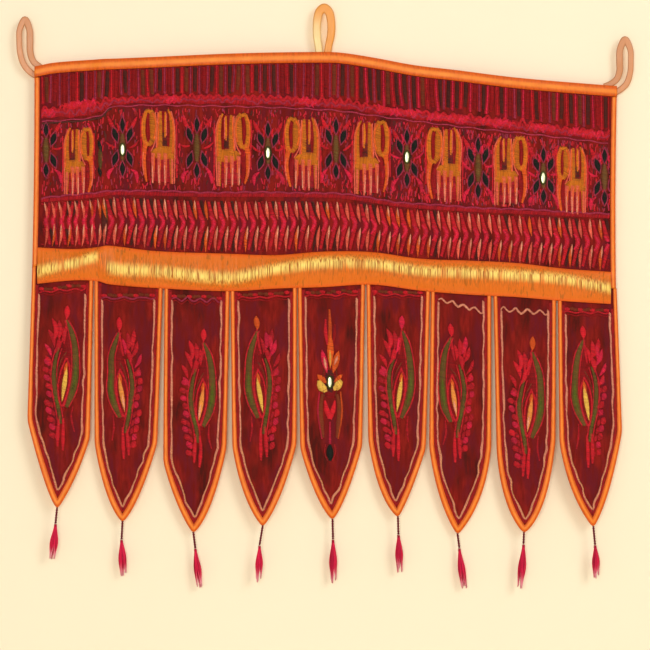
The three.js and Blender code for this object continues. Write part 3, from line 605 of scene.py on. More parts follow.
class Needlework:
    """Stitches of one piece of embroidery, laid one by one and made into one mesh."""

    def __init__(self, name, fold_at, cloth, seed, reach=(-np.inf, np.inf)):
        self.name = name
        self.fold_at = fold_at
        self.seat = cloth / 2
        self.draw = np.random.default_rng(seed)
        self.stitches = []
        self.reach = reach
        self.width = bpy.context.scene.toran_sizes.thread
        self.step = bpy.context.scene.toran_sizes.stitch_step

    def lay(self, start, end, thread, width=None, lift=0.0, rise=0.8, mood=0.0):
        """Straight stitches from each start to each end."""
        count = len(start)
        tone = np.clip(0.5 + mood + self.draw.normal(0, 0.16, count), 0, 1)
        jitter = self.draw.normal(0, 0.12, (count, 4))
        rows = np.column_stack([
            np.asarray(start) + jitter[:, :2], np.asarray(end) + jitter[:, 2:],
            np.full(count, (width or self.width) / 2) * self.draw.uniform(0.88, 1.12, count),
            np.full(count, lift), np.full(count, rise), np.full(count, THREADS.index(thread)), tone,
        ])
        self.stitches.append(rows)

    def satin(self, line, widths, thread, lift=0.0, rise=0.8, slant=0.25, step=None, mood=0.0):
        """Close stitches across a line, whose widths follow the shares of its length."""
        points, share = evenly(smooth_line(line), step or self.step)
        width = np.interp(share, np.linspace(0, 1, len(widths)), widths) / 2
        reach = sideways(points) * width[:, None] + directions(points) * (width * slant)[:, None]
        self.lay(points + reach, points - reach, thread, lift=lift, rise=rise, mood=mood)

    def stem(self, line, thread, width=None, length=3.4, lift=0.0, rise=0.7, mood=0.0):
        """Overlapping stitches that follow a line."""
        points, _ = evenly(smooth_line(line), length)
        ways = np.diff(points, axis=0)
        beside = np.column_stack([-ways[:, 1], ways[:, 0]]) * 0.08
        start = points[:-1] - ways * 0.18 + beside
        end = points[1:] + ways * 0.18 - beside
        self.lay(start, end, thread, width=width, lift=lift, rise=rise, mood=mood)

    def leaf(self, start, end, width, thread, bend=0.0, **how):
        """A leaf from one point to another, fullest in its middle."""
        start = np.asarray(start, float)
        end = np.asarray(end, float)
        way = end - start
        middle = (start + end) / 2 + np.array([-way[1], way[0]]) * bend
        swell = [0.5, width * 0.66, width * 0.94, width, width * 0.86, width * 0.55, 0.5]
        self.satin([start, middle, end], swell, thread, **how)

    def finish_piece(self):
        """Joins the stitches into one mesh, each a small ridged thread with both ends in the cloth."""
        rows = np.vstack(self.stitches)
        ends = rows[:, [0, 2]]
        rows = rows[(ends.min(axis=1) > self.reach[0]) & (ends.max(axis=1) < self.reach[1])]
        start, end = rows[:, 0:2], rows[:, 2:4]
        half, lift, rise, thread, tone = rows[:, 4], rows[:, 5], rows[:, 6], rows[:, 7], rows[:, 8]
        way = end - start
        length = np.maximum(np.linalg.norm(way, axis=1), 0.2)
        way = way / length[:, None]
        across = np.column_stack([-way[:, 1], way[:, 0]]) * half[:, None] * 1.1
        shoulder = np.minimum(0.3 * length, 0.9)
        places, heights, runs, turns = [], [], [], []
        for tail, crest, run in ((start, start + way * shoulder[:, None], shoulder),
                                 (end, end - way * shoulder[:, None], length - shoulder)):
            places += [tail + across, crest, tail - across]
            heights += [lift - SUNK, lift + rise, lift - SUNK]
            runs += [run, run, run]
            turns += [0 * run, 0 * run + 0.5, 0 * run + 1]
        flat = np.stack(places, axis=1).reshape(-1, 2)
        height = np.stack(heights, axis=1).ravel()
        y = self.fold_at(flat[:, 0], flat[:, 1]) - self.seat - height
        points = np.column_stack([flat[:, 0], y, flat[:, 1]])
        shift = (np.arange(len(rows)) * 6)[:, None, None]
        quads = np.array([[0, 1, 4, 3], [1, 2, 5, 4], [2, 0, 3, 5]])
        ends = np.array([[0, 2, 1], [3, 4, 5]])
        values = np.stack([np.stack(runs, axis=1).ravel(), np.stack(turns, axis=1).ravel(),
                           np.repeat(tone, 6)], axis=-1)
        used = sorted(set(thread.astype(int)))
        order = {code: i for i, code in enumerate(used)}
        local = np.array([order[code] for code in thread.astype(int)])
        face_finish = np.concatenate([np.repeat(local, 3), np.repeat(local, 2)])
        faces = [(quads[None] + shift).reshape(-1, 4), (ends[None] + shift).reshape(-1, 3)]
        piece = new_piece(self.name, points, faces, [thread_finish(THREADS[code]) for code in used],
                          values, face_finish)
        fasten(piece, "crimson_yarn")


# Finishes

class Finish:
    """One material, built up from shader nodes."""

    def __init__(self, name, **constants):
        self.material = bpy.data.materials.new(name)
        self.material.use_nodes = True
        self.tree = self.material.node_tree
        self.shader = self.tree.nodes["Principled BSDF"]
        for socket, value in constants.items():
            self.shader.inputs[socket.replace("_", " ")].default_value = value

    def node(self, kind, settings=None, **inputs):
        """Adds a node, sets it and links or fills its inputs; an input i0, i1 is one by its number."""
        node = self.tree.nodes.new("ShaderNode" + kind)
        for name, value in (settings or {}).items():
            setattr(node, name, value)
        for name, value in inputs.items():
            socket = node.inputs[int(name[1:])] if name[1:].isdigit() else node.inputs[name.replace("_", " ")]
            if isinstance(value, bpy.types.NodeSocket):
                self.tree.links.new(value, socket)
            else:
                socket.default_value = value
        return node

    def shade(self, socket, value):
        """Links a value to the shader."""
        self.tree.links.new(value, self.shader.inputs[socket])

    def place(self):
        """Place on the object, in metres."""
        return self.node("TexCoord").outputs["Object"]

    def strand(self, *wanted):
        """Values kept on the mesh: the run along a strand is X, the turn across it Y, its tone Z."""
        values = self.node("Attribute", {"attribute_name": "strand"}).outputs["Vector"]
        parts = self.node("SeparateXYZ", Vector=values).outputs
        return [parts[axis] for axis in wanted]

    def math(self, operation, first, second=0.0, third=0.0):
        """One step of arithmetic."""
        return self.node("Math", {"operation": operation}, i0=first, i1=second, i2=third).outputs[0]

    def noise(self, vector, scale, detail=2.0, stretch=(1, 1, 1)):
        """Soft noise, stretched if asked."""
        turned = self.node("Mapping", Vector=vector, Scale=stretch).outputs[0]
        return self.node("TexNoise", Vector=turned, Scale=scale, Detail=detail).outputs[0]

    def blend(self, share, first, second):
        """Mixes two colours."""
        node = self.node("Mix", {"data_type": "RGBA"}, i0=share)
        for socket, value in ((node.inputs[6], first), (node.inputs[7], second)):
            if isinstance(value, bpy.types.NodeSocket):
                self.tree.links.new(value, socket)
            else:
                socket.default_value = (*value, 1)
        return node.outputs[2]

    def window(self, value, low, high):
        """0 below low, 1 above high, soft between."""
        soft = {"interpolation_type": "SMOOTHSTEP"}
        return self.node("MapRange", soft, Value=value, i1=low, i2=high).outputs[0]

    def bump(self, height, distance, strength=1.0):
        """Raises the surface by a height."""
        node = self.node("Bump", Height=height, Distance=distance, Strength=strength)
        self.shade("Normal", node.outputs[0])


def tint(shade, share):
    """A colour made darker or lighter."""
    return tuple(min(part * share, 1.0) for part in shade)


def cotton_finish(colours):
    """Plain-woven maroon cotton with brown and plum patches."""
    finish = Finish("woven_cotton", Roughness=0.86, Sheen_Weight=0.02, Specular_IOR_Level=0.12)
    place = finish.place()
    patches = finish.window(finish.noise(place, 34, 3.0, (1, 1, 0.35)), 0.44, 0.64)
    plum = finish.window(finish.noise(place, 21, 3.0, (1.4, 1, 0.5)), 0.44, 0.6)
    shade = finish.blend(patches, tuple(colours.ground), tuple(colours.ground_dark))
    shade = finish.blend(plum, shade, tuple(colours.ground_plum))
    slubs = finish.noise(place, 260, 2.0, (1, 1, 0.16))
    shade = finish.blend(finish.window(slubs, 0.35, 0.75), shade, tint(colours.ground, 0.62))
    finish.shade("Base Color", shade)
    warp = finish.node("TexWave", {"bands_direction": "X"}, Vector=place, Scale=285.0).outputs[1]
    weft = finish.node("TexWave", {"bands_direction": "Z"}, Vector=place, Scale=285.0).outputs[1]
    weave = finish.math("MULTIPLY", finish.math("SUBTRACT", warp, 0.5), finish.math("SUBTRACT", weft, 0.5))
    finish.shade("Roughness", finish.math("MULTIPLY_ADD", slubs, 0.3, 0.66))
    finish.bump(finish.math("ADD", weave, finish.math("MULTIPLY", slubs, 0.6)), 0.0007, 0.8)
    return finish.material


def binding_finish(colours):
    """Orange satin strip with a painted highlight along its middle, and fine threads across it."""
    finish = Finish("binding_satin", Roughness=0.45, Anisotropic=0.4, Specular_IOR_Level=0.2)
    (across,) = finish.strand("Y")
    # Painted highlight: a paler band down the middle of the strip, uneven along its length
    middle = finish.math("ABSOLUTE", finish.math("SUBTRACT", across, 0.52))
    pale = finish.window(middle, 0.34, 0.05)
    threads = finish.noise(finish.place(), 420, 2.0, (1, 1, 0.25))
    uneven = finish.noise(finish.place(), 46, 2.0)
    pale = finish.math("MULTIPLY", pale, finish.math("MULTIPLY_ADD", uneven, 0.9, 0.35))
    lines = finish.window(threads, 0.3, 0.8)
    shade = finish.blend(lines, tuple(colours.binding), tint(colours.binding, 0.72))
    finish.shade("Base Color", finish.blend(pale, shade, tuple(colours.binding_painted_sheen)))
    finish.shade("Roughness", finish.math("MULTIPLY_ADD", threads, 0.25, 0.3))
    finish.bump(threads, 0.0004, 0.6)
    return finish.material


def ribbon_finish(colours):
    """Gold-shot satin: upright threads, an olive gold body, painted shade in the creases of its gathers and a
    painted highlight along its ridge.
    """
    finish = Finish("ribbon_satin", Roughness=0.4, Anisotropic=0.5, Specular_IOR_Level=0.3)
    run, across, ridge = finish.strand("X", "Y", "Z")
    place = finish.place()
    threads = finish.noise(place, 560, 3.0, (1, 1, 0.03))
    streaks = finish.noise(place, 110, 3.0, (1, 1, 0.08))
    # Painted highlight along the ridge, ragged at its edges, broken by streaks and threads and left off at
    # the crease
    off = finish.math("ABSOLUTE", finish.math("SUBTRACT", across, ridge))
    ragged = finish.math("MULTIPLY_ADD", threads, 0.2, -0.02)
    painted_highlight = finish.window(finish.math("SUBTRACT", off, ragged), 0.17, -0.06)
    painted_highlight = finish.math("MULTIPLY", painted_highlight, finish.window(streaks, 0.24, 0.5))
    painted_highlight = finish.math("MULTIPLY", painted_highlight, finish.window(threads, 0.66, 0.44))
    crease = finish.math("ABSOLUTE", finish.math("SUBTRACT", run, CREASE["x"]))
    painted_highlight = finish.math("MULTIPLY", painted_highlight, finish.window(crease, 3, 12))
    # Painted light: the body is also painted lighter near the ridge, round the highlight
    near = finish.window(off, 0.5, 0.06)
    edge = finish.window(finish.math("ABSOLUTE", finish.math("SUBTRACT", across, 0.5)), 0.36, 0.48)
    dull = finish.math("MULTIPLY", near, finish.window(threads, 0.36, 0.62))
    shade = finish.blend(near, tint(colours.ribbon, 1.05), tint(colours.ribbon, 1.2))
    shade = finish.blend(finish.math("MULTIPLY", dull, 0.8), shade, tuple(colours.ribbon_shade))
    shade = finish.blend(finish.math("MULTIPLY", edge, 0.6), shade, tuple(colours.ribbon_edge))
    shade = finish.blend(painted_highlight, shade, tuple(colours.ribbon_painted_sheen))
    # Painted shade: darker upright streaks in the creases of the gathers
    gathers = finish.noise(place, 230, 2.0, (1, 1, 0.02))
    painted_crease_shade = finish.math("MULTIPLY", finish.window(gathers, 0.58, 0.68), 0.6)
    shade = finish.blend(painted_crease_shade, shade, tuple(colours.ribbon_shade))
    finish.shade("Base Color", shade)
    finish.shade("Roughness", finish.math("MULTIPLY_ADD", threads, 0.25, 0.34))
    finish.bump(threads, 0.0006, 0.7)
    return finish.material


def loop_finish(name, shade_low, painted_highlight_colour, low, high):
    """Satin of a hanging loop, with a painted highlight along part of its length and painted shade at its
    turned edges.
    """
    finish = Finish(name, Roughness=0.38, Anisotropic=0.4, Sheen_Weight=0.05)
    run, across = finish.strand("X", "Y")
    threads = finish.noise(finish.place(), 380, 2.0, (1, 1, 0.2))
    # Painted shade darkens the loop's turned edges; a painted highlight lightens part of its length
    edges = finish.window(finish.math("ABSOLUTE", finish.math("SUBTRACT", across, 0.5)), 0.28, 0.5)
    shade = finish.blend(finish.window(run, low, high), shade_low, painted_highlight_colour)
    shade = finish.blend(finish.math("MULTIPLY", edges, 0.6), shade, tint(shade_low, 0.55))
    shade = finish.blend(finish.math("MULTIPLY", threads, 0.3), shade, tint(shade_low, 0.7))
    finish.shade("Base Color", shade)
    finish.shade("Roughness", finish.math("MULTIPLY_ADD", threads, 0.25, 0.28))
    finish.bump(threads, 0.0004, 0.6)
    return finish.material


def yarn_finish(colours):
    """Twisted yarn of the tassels, with a painted highlight toward its cut ends."""
    finish = Finish("tassel_yarn", Roughness=0.6, Sheen_Weight=0.01, Specular_IOR_Level=0.2)
    run, tone = finish.strand("X", "Z")
    shade = finish.blend(tone, tint(colours.yarn, 0.2), tint(colours.yarn, 1.4))
    # Painted highlight: pale pink toward the lower ends of the brighter threads
    cut = finish.window(finish.math("MULTIPLY_ADD", tone, 0.45, run), 0.98, 1.42)
    shade = finish.blend(cut, shade, tuple(colours.yarn_painted_highlight))
    finish.shade("Base Color", shade)
    fibres = finish.noise(finish.place(), 900, 2.0, (1, 1, 0.15))
    finish.shade("Roughness", finish.math("MULTIPLY_ADD", fibres, 0.3, 0.4))
    finish.bump(fibres, 0.0002, 0.7)
    return finish.material


def thread_finish(thread):
    """Lustrous embroidery thread of one colour, with its twist."""
    made = bpy.data.materials.get(thread + "_thread")
    if made:
        return made
    base = tuple(getattr(bpy.context.scene.toran_colours, thread))
    finish = Finish(thread + "_thread", Roughness=0.5, Sheen_Weight=0.02, Specular_IOR_Level=0.3)
    run, turn, tone = finish.strand("X", "Y", "Z")
    finish.shade("Base Color", finish.blend(tone, tint(base, 0.55), tint(base, 1.45)))
    twist = finish.math("SINE", finish.math("MULTIPLY_ADD", run, 5.5, finish.math("MULTIPLY", turn, 4.0)))
    finish.shade("Roughness", finish.math("MULTIPLY_ADD", twist, 0.06, 0.48))
    finish.bump(twist, 0.00012, 0.8)
    return finish.material


def mirror_finish(colours):
    """Old silvered glass with faint clouding."""
    finish = Finish("mirror_glass", Metallic=0.8, Roughness=0.3)
    clouds = finish.noise(finish.place(), 300, 3.0)
    finish.shade("Base Color", finish.blend(finish.window(clouds, 0.45, 0.75), tuple(colours.mirror),
                                            tint(colours.mirror, 0.72)))
    finish.shade("Roughness", finish.math("MULTIPLY_ADD", clouds, 0.3, 0.2))
    finish.bump(clouds, 0.0001, 0.3)
    return finish.material


def fasten(piece, slot, *nodes):
    """A finished piece rides on the hanging and stands for its solids, if any; its slot is not used."""
    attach(piece, "root")
    if nodes:
        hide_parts(*nodes)


class ToranPiece:
    """What every operator here shares."""

    bl_options = {"REGISTER", "UNDO"}


class TORAN_OT_header(ToranPiece, bpy.types.Operator):
    """Header cloth, hung in its soft folds"""

    bl_idname = "toran.header"
    bl_label = "Header cloth"

    def execute(self, context):
        cloth = cotton_finish(context.scene.toran_colours)
        station = np.linspace(LEFT_EDGE["top"], RIGHT_EDGE["top"], 200)[None, :]
        share = np.linspace(0, 1, 56)[:, None]
        top = along(HEADER_TOP_EDGE, "z", station) - EDGE_INSET
        z = top + (seam_height(station) - top) * share
        left = side_edge(LEFT_EDGE, share) + EDGE_INSET
        right = side_edge(RIGHT_EDGE, share) - EDGE_INSET
        place = (station - LEFT_EDGE["top"]) / (RIGHT_EDGE["top"] - LEFT_EDGE["top"])
        x = left + (right - left) * place
        piece = sheet_piece("header_ground", x, z, fold, HEADER_CLOTH, cloth, 0.22)
        fasten(piece, "maroon_cotton", "header_cloth")
        return {"FINISHED"}


class TORAN_OT_flags(ToranPiece, bpy.types.Operator):
    """Nine pointed flags of the same cotton"""

    bl_idname = "toran.flags"
    bl_label = "Flags"

    def execute(self, context):
        cloth = bpy.data.materials["woven_cotton"]
        for number, flag in enumerate(FLAGS, 1):
            inner = flag_stations(flag, EDGE_INSET, 4.0)[1]
            half = len(inner) // 2
            left, right = inner[:half], inner[:half:-1]
            rows = int(min(self.length(left), self.length(right)) / 4)
            left, right = (evenly(side, self.length(side) / (rows - 1))[0] for side in (left, right))
            share = np.linspace(0, 1, 25)[None, :]
            x = left[:, :1] + (right[:, :1] - left[:, :1]) * share
            z = left[:, 1:] + (right[:, 1:] - left[:, 1:]) * share
            top = smoothstep(np.linspace(0, 8, rows)[:, None])
            z = np.where(top < 1, z + (seam_height(x) - SEAM_GAP - z[:1]) * (1 - top), z)
            piece = sheet_piece(f"flag_ground_{number}", x, z, flag_fold(flag), FLAG_CLOTH, cloth, 0.18)
            fasten(piece, "maroon_cotton", f"flag_{number}")
        return {"FINISHED"}

    @staticmethod
    def length(line):
        """Length of a line of points."""
        return np.linalg.norm(np.diff(line, axis=0), axis=1).sum()


class TORAN_OT_bindings(ToranPiece, bpy.types.Operator):
    """Orange satin strips over the edges of the header and the flags"""

    bl_idname = "toran.bindings"
    bl_label = "Bindings"

    def execute(self, context):
        sizes = context.scene.toran_sizes
        satin = binding_finish(context.scene.toran_colours)
        x = np.linspace(LEFT_EDGE["top"], RIGHT_EDGE["top"], 310)
        outers = np.column_stack([x, along(HEADER_TOP_EDGE, "z", x)])
        profile = strip_profile(sizes.top_binding, HEADER_CLOTH, 0.8)
        inners = outers - np.array([0, sizes.top_binding])
        piece = strip_piece("top_strip", outers, inners, profile, sizes.top_binding, fold, satin)
        fasten(piece, "orange_satin", "header_binding_top")
        profile = strip_profile(sizes.side_binding, HEADER_CLOTH, 0.5)
        for name, edge, inward in (("left", LEFT_EDGE, 1), ("right", RIGHT_EDGE, -1)):
            top_z = float(along(HEADER_TOP_EDGE, "z", edge["top"]))
            end_z = float(seam_height(edge["bottom"])) - SEAM_GAP + STRIP_MEETING
            z = np.linspace(top_z - sizes.top_binding - SEWN_GAP, end_z, 100)
            outers = np.column_stack([side_edge(edge, (top_z - z) / (top_z - end_z)), z])
            inners = outers + np.array([inward * sizes.side_binding, 0])
            piece = strip_piece(f"side_strip_{name}", outers, inners, profile,
                                sizes.side_binding, fold, satin)
            fasten(piece, "orange_satin", f"header_binding_{name}")
        profile = strip_profile(sizes.flag_binding, FLAG_CLOTH, 0.45)
        for number, flag in enumerate(FLAGS, 1):
            outers, inners = flag_stations(flag, sizes.flag_binding, STRIP_STEP, sizes.strip_spread)
            piece = strip_piece(f"flag_strip_{number}", blunted(outers), inners, profile,
                                sizes.flag_binding, flag_fold(flag), satin)
            fasten(piece, "orange_satin", f"flag_binding_{number}")
        return {"FINISHED"}


class TORAN_OT_ribbon(ToranPiece, bpy.types.Operator):
    """Puffed satin ribbon over the seam, with its upright gathers"""

    bl_idname = "toran.ribbon"
    bl_label = "Ribbon"

    def execute(self, context):
        draw = np.random.default_rng(21)
        x = np.linspace(RIBBON["x"][0] - RIBBON_REACH, RIBBON["x"][-1] + RIBBON_REACH, 1000)[:, None]
        share = np.linspace(0, 1, 17)[None, :]
        top, bottom, ridge = (along(RIBBON, column, x) for column in ("top", "bottom", "ridge"))
        rising = np.where(share < ridge, share / ridge, (1 - share) / (1 - ridge))
        upper_seat = HEADER_CLOTH / 2 + SEWN_GAP
        lower_seat = FLAG_CLOTH / 2 + SEWN_GAP + SATIN + SEWN_GAP
        to_end = np.minimum(x - x[0], x[-1] - x)
        puff = RIBBON_PUFF * np.sqrt(np.clip(to_end / RIBBON_TUCK, RIBBON_TUCKED, 1))
        back = -(upper_seat + (lower_seat - upper_seat) * share) - puff * np.sin(math.pi / 2 * rising)
        steps = draw.normal(0, 1, len(x))
        gathers = np.convolve(steps, np.hanning(7), "same") * 0.3
        slow = np.convolve(steps, np.hanning(31), "same") * 0.12
        relief = (np.clip(gathers, -0.5, 0.5) + np.clip(slow, -0.5, 0.5))[:, None]
        relief = relief * np.sin(math.pi * share) ** 0.6
        z = top + (bottom - top) * share
        y = fold(x, z) + back
        front = np.stack(np.broadcast_arrays(x, y - RIBBON_CLOTH - relief, z), axis=-1)
        rear = np.stack(np.broadcast_arrays(x, y - relief, z), axis=-1)[:, ::-2]
        sections = np.concatenate([front, rear], axis=1)
        around = np.concatenate([share, share[:, ::-2]], axis=1)
        values = np.stack(np.broadcast_arrays(x, around, ridge), axis=-1)
        finish = ribbon_finish(context.scene.toran_colours)
        piece = swept_piece("gathered_ribbon", sections, values, finish)
        fasten(piece, "gold_satin", "ribbon")
        return {"FINISHED"}


class TORAN_OT_loops(ToranPiece, bpy.types.Operator):
    """Three flattened satin loops, sewn behind the top edge"""

    bl_idname = "toran.loops"
    bl_label = "Hanging loops"

    def execute(self, context):
        colours = context.scene.toran_colours
        # The outer loops carry painted shade in their colour and a mild painted highlight; the centre loop a
        # pale painted highlight toward one end
        side = loop_finish("side_loop_satin", tuple(colours.loop_side),
                           tint(colours.loop_side, 1.1), 0.3, 0.7)
        centre = loop_finish("centre_loop_satin", tuple(colours.loop_centre),
                             tuple(colours.loop_pale), 0.55, 0.8)
        for name, route in LOOPS.items():
            sections, values = self.tube(route)
            piece = swept_piece(f"satin_loop_{name}", sections, values, centre if name == "centre" else side)
            fasten(piece, "loop_satin", f"loop_{name}")
        return {"FINISHED"}

    @staticmethod
    def tube(route):
        """Sections of a flattened tube along a centripetal curve through its points."""
        points = np.column_stack([route["x"], route["back"], route["z"]])
        padded = np.vstack([2 * points[0] - points[1], points, 2 * points[-1] - points[-2]])
        halves = np.concatenate([[route["half"][0]], route["half"], [route["half"][-1]]])
        centres, widths = [], []
        t = np.linspace(0, 1, 10, endpoint=False)[:, None]
        for i in range(1, len(padded) - 2):
            a, b, c, d = padded[i - 1:i + 3]
            gap = [max(np.linalg.norm(q - p) ** 0.5, 1e-4) for p, q in ((a, b), (b, c), (c, d))]
            start = ((b - a) / gap[0] - (c - a) / (gap[0] + gap[1]) + (c - b) / gap[1]) * gap[1]
            end = ((c - b) / gap[1] - (d - b) / (gap[1] + gap[2]) + (d - c) / gap[2]) * gap[1]
            centres.append(b + start * t + (3 * (c - b) - 2 * start - end) * t ** 2
                           + (2 * (b - c) + start + end) * t ** 3)
            widths.append(halves[i] + (halves[i + 1] - halves[i]) * t[:, 0])
        middle = np.vstack(centres + [points[-1:]])
        half = np.concatenate(widths + [halves[-1:]])
        ahead = directions(middle[:, [0, 2]])
        angles = np.linspace(0, 2 * math.pi, 22, endpoint=False)
        flat_x = np.sign(np.cos(angles)) * np.abs(np.cos(angles)) ** 0.75
        flat_y = np.sign(np.sin(angles)) * np.abs(np.sin(angles)) ** 0.75
        seam = 1 - 0.16 * np.exp(-(np.cos(angles) / 0.25) ** 2)
        out = flat_x[None, :] * half[:, None]
        deep = flat_y[None, :] * seam[None, :] * LOOP_THICKNESS / 2 * np.ones((len(half), 1))
        x = middle[:, :1] - ahead[:, 1:] * out
        z = middle[:, 2:] + ahead[:, :1] * out
        sections = np.stack([x, middle[:, 1:2] + deep + fold(x, z), z], axis=-1)
        share = np.linspace(0, 1, len(middle))[:, None]
        across = (flat_x[None, :] + 1) / 2
        return sections, np.stack(np.broadcast_arrays(share, across, share), axis=-1)


class TORAN_OT_tassels(ToranPiece, bpy.types.Operator):
    """Nine slim tassels: a twisted stem, a wound neck and a skirt of cut threads"""

    bl_idname = "toran.tassels"
    bl_label = "Tassels"

    def execute(self, context):
        sizes = context.scene.toran_sizes
        yarn = yarn_finish(context.scene.toran_colours)
        for number, (flag, tassel) in enumerate(zip(FLAGS, TASSELS), 1):
            draw = np.random.default_rng(300 + number)
            y = float(flag_fold(flag)(flag["tip_x"], flag["tip_z"]))
            outline = blunted(flag_stations(flag, sizes.flag_binding, STRIP_STEP)[0])
            tip = np.array([flag["tip_x"], y, outline[:, 1].min() - SEWN_GAP])
            neck = np.array([tassel["stem_x"], y, tassel["stem_z"]])
            end = np.array([tassel["end_x"], y, tassel["end_z"]])
            parts = [self.stem(tip, neck), self.winding(neck), self.skirt(neck, end, sizes, draw)]
            self.join(f"yarn_tassel_{number}", parts, yarn, draw, number)
        return {"FINISHED"}

    @staticmethod
    def stem(tip, neck):
        """Two plies wound round each other."""
        length = tip[2] - neck[2]
        t = np.linspace(0, 1, max(int(length / 0.9), 12))
        centre = tip + (neck - tip) * t[:, None]
        plies = []
        for phase in (0, math.pi):
            turn = phase + t * length / PLY_PITCH * 2 * math.pi
            way = np.stack([np.cos(turn), np.sin(turn), 0 * turn], axis=-1)
            plies.append(centre + way * PLY_OFFSET)
        return yarn_tubes(np.array(plies), PLY_RADIUS, 6), 0.0

    @staticmethod
    def winding(neck):
        """Turns of thread round the top of the skirt."""
        t = np.linspace(0, 1, 90)
        turn = t * WOUND_TURNS * 2 * math.pi
        radius = 2.0 + 0.25 * np.sin(t * math.pi)
        way = np.stack([np.cos(turn) * radius, np.sin(turn) * radius, -t * WOUND_HEIGHT], axis=-1)
        return yarn_tubes((neck + way)[None], WOUND_RADIUS, 5), 0.35

    @staticmethod
    def skirt(neck, end, sizes, draw):
        """Cut threads in a teardrop that parts into locks."""
        count = sizes.tassel_threads
        t = np.linspace(0, 1, 10)
        turn = np.arange(count) * GOLDEN_ANGLE + draw.normal(0, 0.2, count)
        reach = sizes.tassel_radius * np.sqrt((np.arange(count) + 0.5) / count)
        reach = reach * draw.uniform(0.9, 1.08, count)
        shape = np.interp(t, [0, 0.12, 0.3, 0.5, 0.7, 1], [0.24, 0.34, 0.62, 0.93, 1.0, 0.9])
        drift = turn[:, None] + draw.normal(0, 0.16, count)[:, None] * t
        across = np.cos(drift) * reach[:, None] * shape
        away = np.sin(drift) * reach[:, None] * shape * 0.9
        lock = np.floor(np.mod(turn + 0.5 * neck[0], 2 * math.pi) / (2 * math.pi / LOCKS)).astype(int)
        middle = (lock + 0.5) * 2 * math.pi / LOCKS - 0.5 * neck[0]
        gathered = 0.72 * smoothstep((t - 0.45) / 0.55)
        across = across + (np.cos(middle)[:, None] * LOCK_REACH * sizes.tassel_radius - across) * gathered
        away = away + (np.sin(middle)[:, None] * LOCK_REACH * sizes.tassel_radius - away) * gathered
        wave = draw.normal(0, 0.25, (count, 2))[:, :, None] * np.sin(t * math.pi * 1.5)
        drop = end[2] - neck[2] + draw.uniform(0, 4.0, count) + draw.uniform(0, 9.0, LOCKS)[lock]
        x = neck[0] + (end[0] - neck[0]) * t ** 1.2 + across + wave[:, 0]
        y = neck[1] + away + wave[:, 1]
        z = neck[2] - 1.0 + drop[:, None] * t
        thickness = 0.5 * np.interp(t, [0, 0.9, 1], [0.8, 1, 0.6])
        paths = np.stack(np.broadcast_arrays(x, y, z), axis=-1)
        return yarn_tubes(paths, thickness, 3), None

    @staticmethod
    def join(name, parts, yarn, draw, number):
        """One mesh of a whole tassel."""
        points, quads, ends, values, start = [], [], [], [], 0
        for (place, four, caps, strand), tone in parts:
            points.append(place)
            quads.append(four + start)
            ends.append(caps + start)
            if tone is None:
                threads = len(caps) // 2
                each_tone = np.repeat(draw.uniform(0.4, 1.0, threads), len(place) // threads)
                run = strand[:, 0]
            else:
                each_tone = np.full(len(place), tone)
                run = strand[:, 0] * 0
            values.append(np.column_stack([run, strand[:, 1], each_tone]))
            start += len(place)
        piece = new_piece(name, np.vstack(points), quads + ends, [yarn], np.vstack(values))
        turn_faces_out(piece)
        fasten(piece, "crimson_yarn", f"tassel_{number}")


class TORAN_OT_mirrors(ToranPiece, bpy.types.Operator):
    """Small oval mirrors, bevelled and held by a ring of buttonhole stitches"""

    bl_idname = "toran.mirrors"
    bl_label = "Mirrors"

    def execute(self, context):
        glass = mirror_finish(context.scene.toran_colours)
        for number in range(1, FLOWER_MIRROR + 1):
            low, high = (np.array(corner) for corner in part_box(f"mirror_{number}"))
            middle = (low + high) / 2
            size = high - low
            bpy.ops.object.select_all(action="DESELECT")
            bpy.ops.mesh.primitive_cylinder_add(
                vertices=40, radius=0.5, depth=1, location=middle, rotation=(math.pi / 2, 0, 0),
                scale=(size[0], size[2], size[1]))
            piece = bpy.context.object
            bpy.ops.object.transform_apply(location=True, rotation=True, scale=True)
            self.bevel_front(piece)
            piece.name = f"mirror_glass_{number}"
            piece.data.name = piece.name
            piece.data.materials.append(glass)
            fasten(piece, "mirror_glass", f"mirror_{number}")
            self.ring(number, middle / MM, size / MM)
        return {"FINISHED"}

    @staticmethod
    def bevel_front(piece):
        """Rounds the front rim, which faces the room."""
        bpy.ops.object.mode_set(mode="EDIT")
        bpy.ops.mesh.select_all(action="DESELECT")
        work = bmesh.from_edit_mesh(piece.data)
        front = min(vertex.co.y for vertex in work.verts) + 1e-5
        for edge in work.edges:
            edge.select = all(vertex.co.y < front for vertex in edge.verts)
        bmesh.update_edit_mesh(piece.data)
        bpy.ops.mesh.bevel(offset=0.0007, segments=3, affect="EDGES")
        bpy.ops.object.mode_set(mode="OBJECT")
        sharpen(piece, 40)

    @staticmethod
    def ring(number, middle, size):
        """Stitches over the rim of one mirror."""
        on_flag = number == FLOWER_MIRROR
        fold_at, cloth = (flag_fold(FLAGS[FLOWER_FLAG]), FLAG_CLOTH) if on_flag else (fold, HEADER_CLOTH)
        work = Needlework(f"mirror_ring_{number}", fold_at, cloth, 500 + number)
        angles = np.linspace(0, 2 * math.pi, 46, endpoint=False)
        way = np.column_stack([np.cos(angles), np.sin(angles)])
        centre = np.array([middle[0], middle[2]])
        oval = np.array([size[0], size[2]]) / 2
        work.lay(centre + way * (oval - 1.6), centre + way * (oval + 2.0), "leaf_green", width=1.1,
                 lift=0.5, rise=1.5, mood=-0.3)
        rim = centre + np.vstack([way, way[:1]]) * (oval + 2.2)
        work.stem(rim, "bottle_green", width=1.6, length=2.2, lift=0.1, rise=1.2, mood=0.2)
        work.finish_piece()


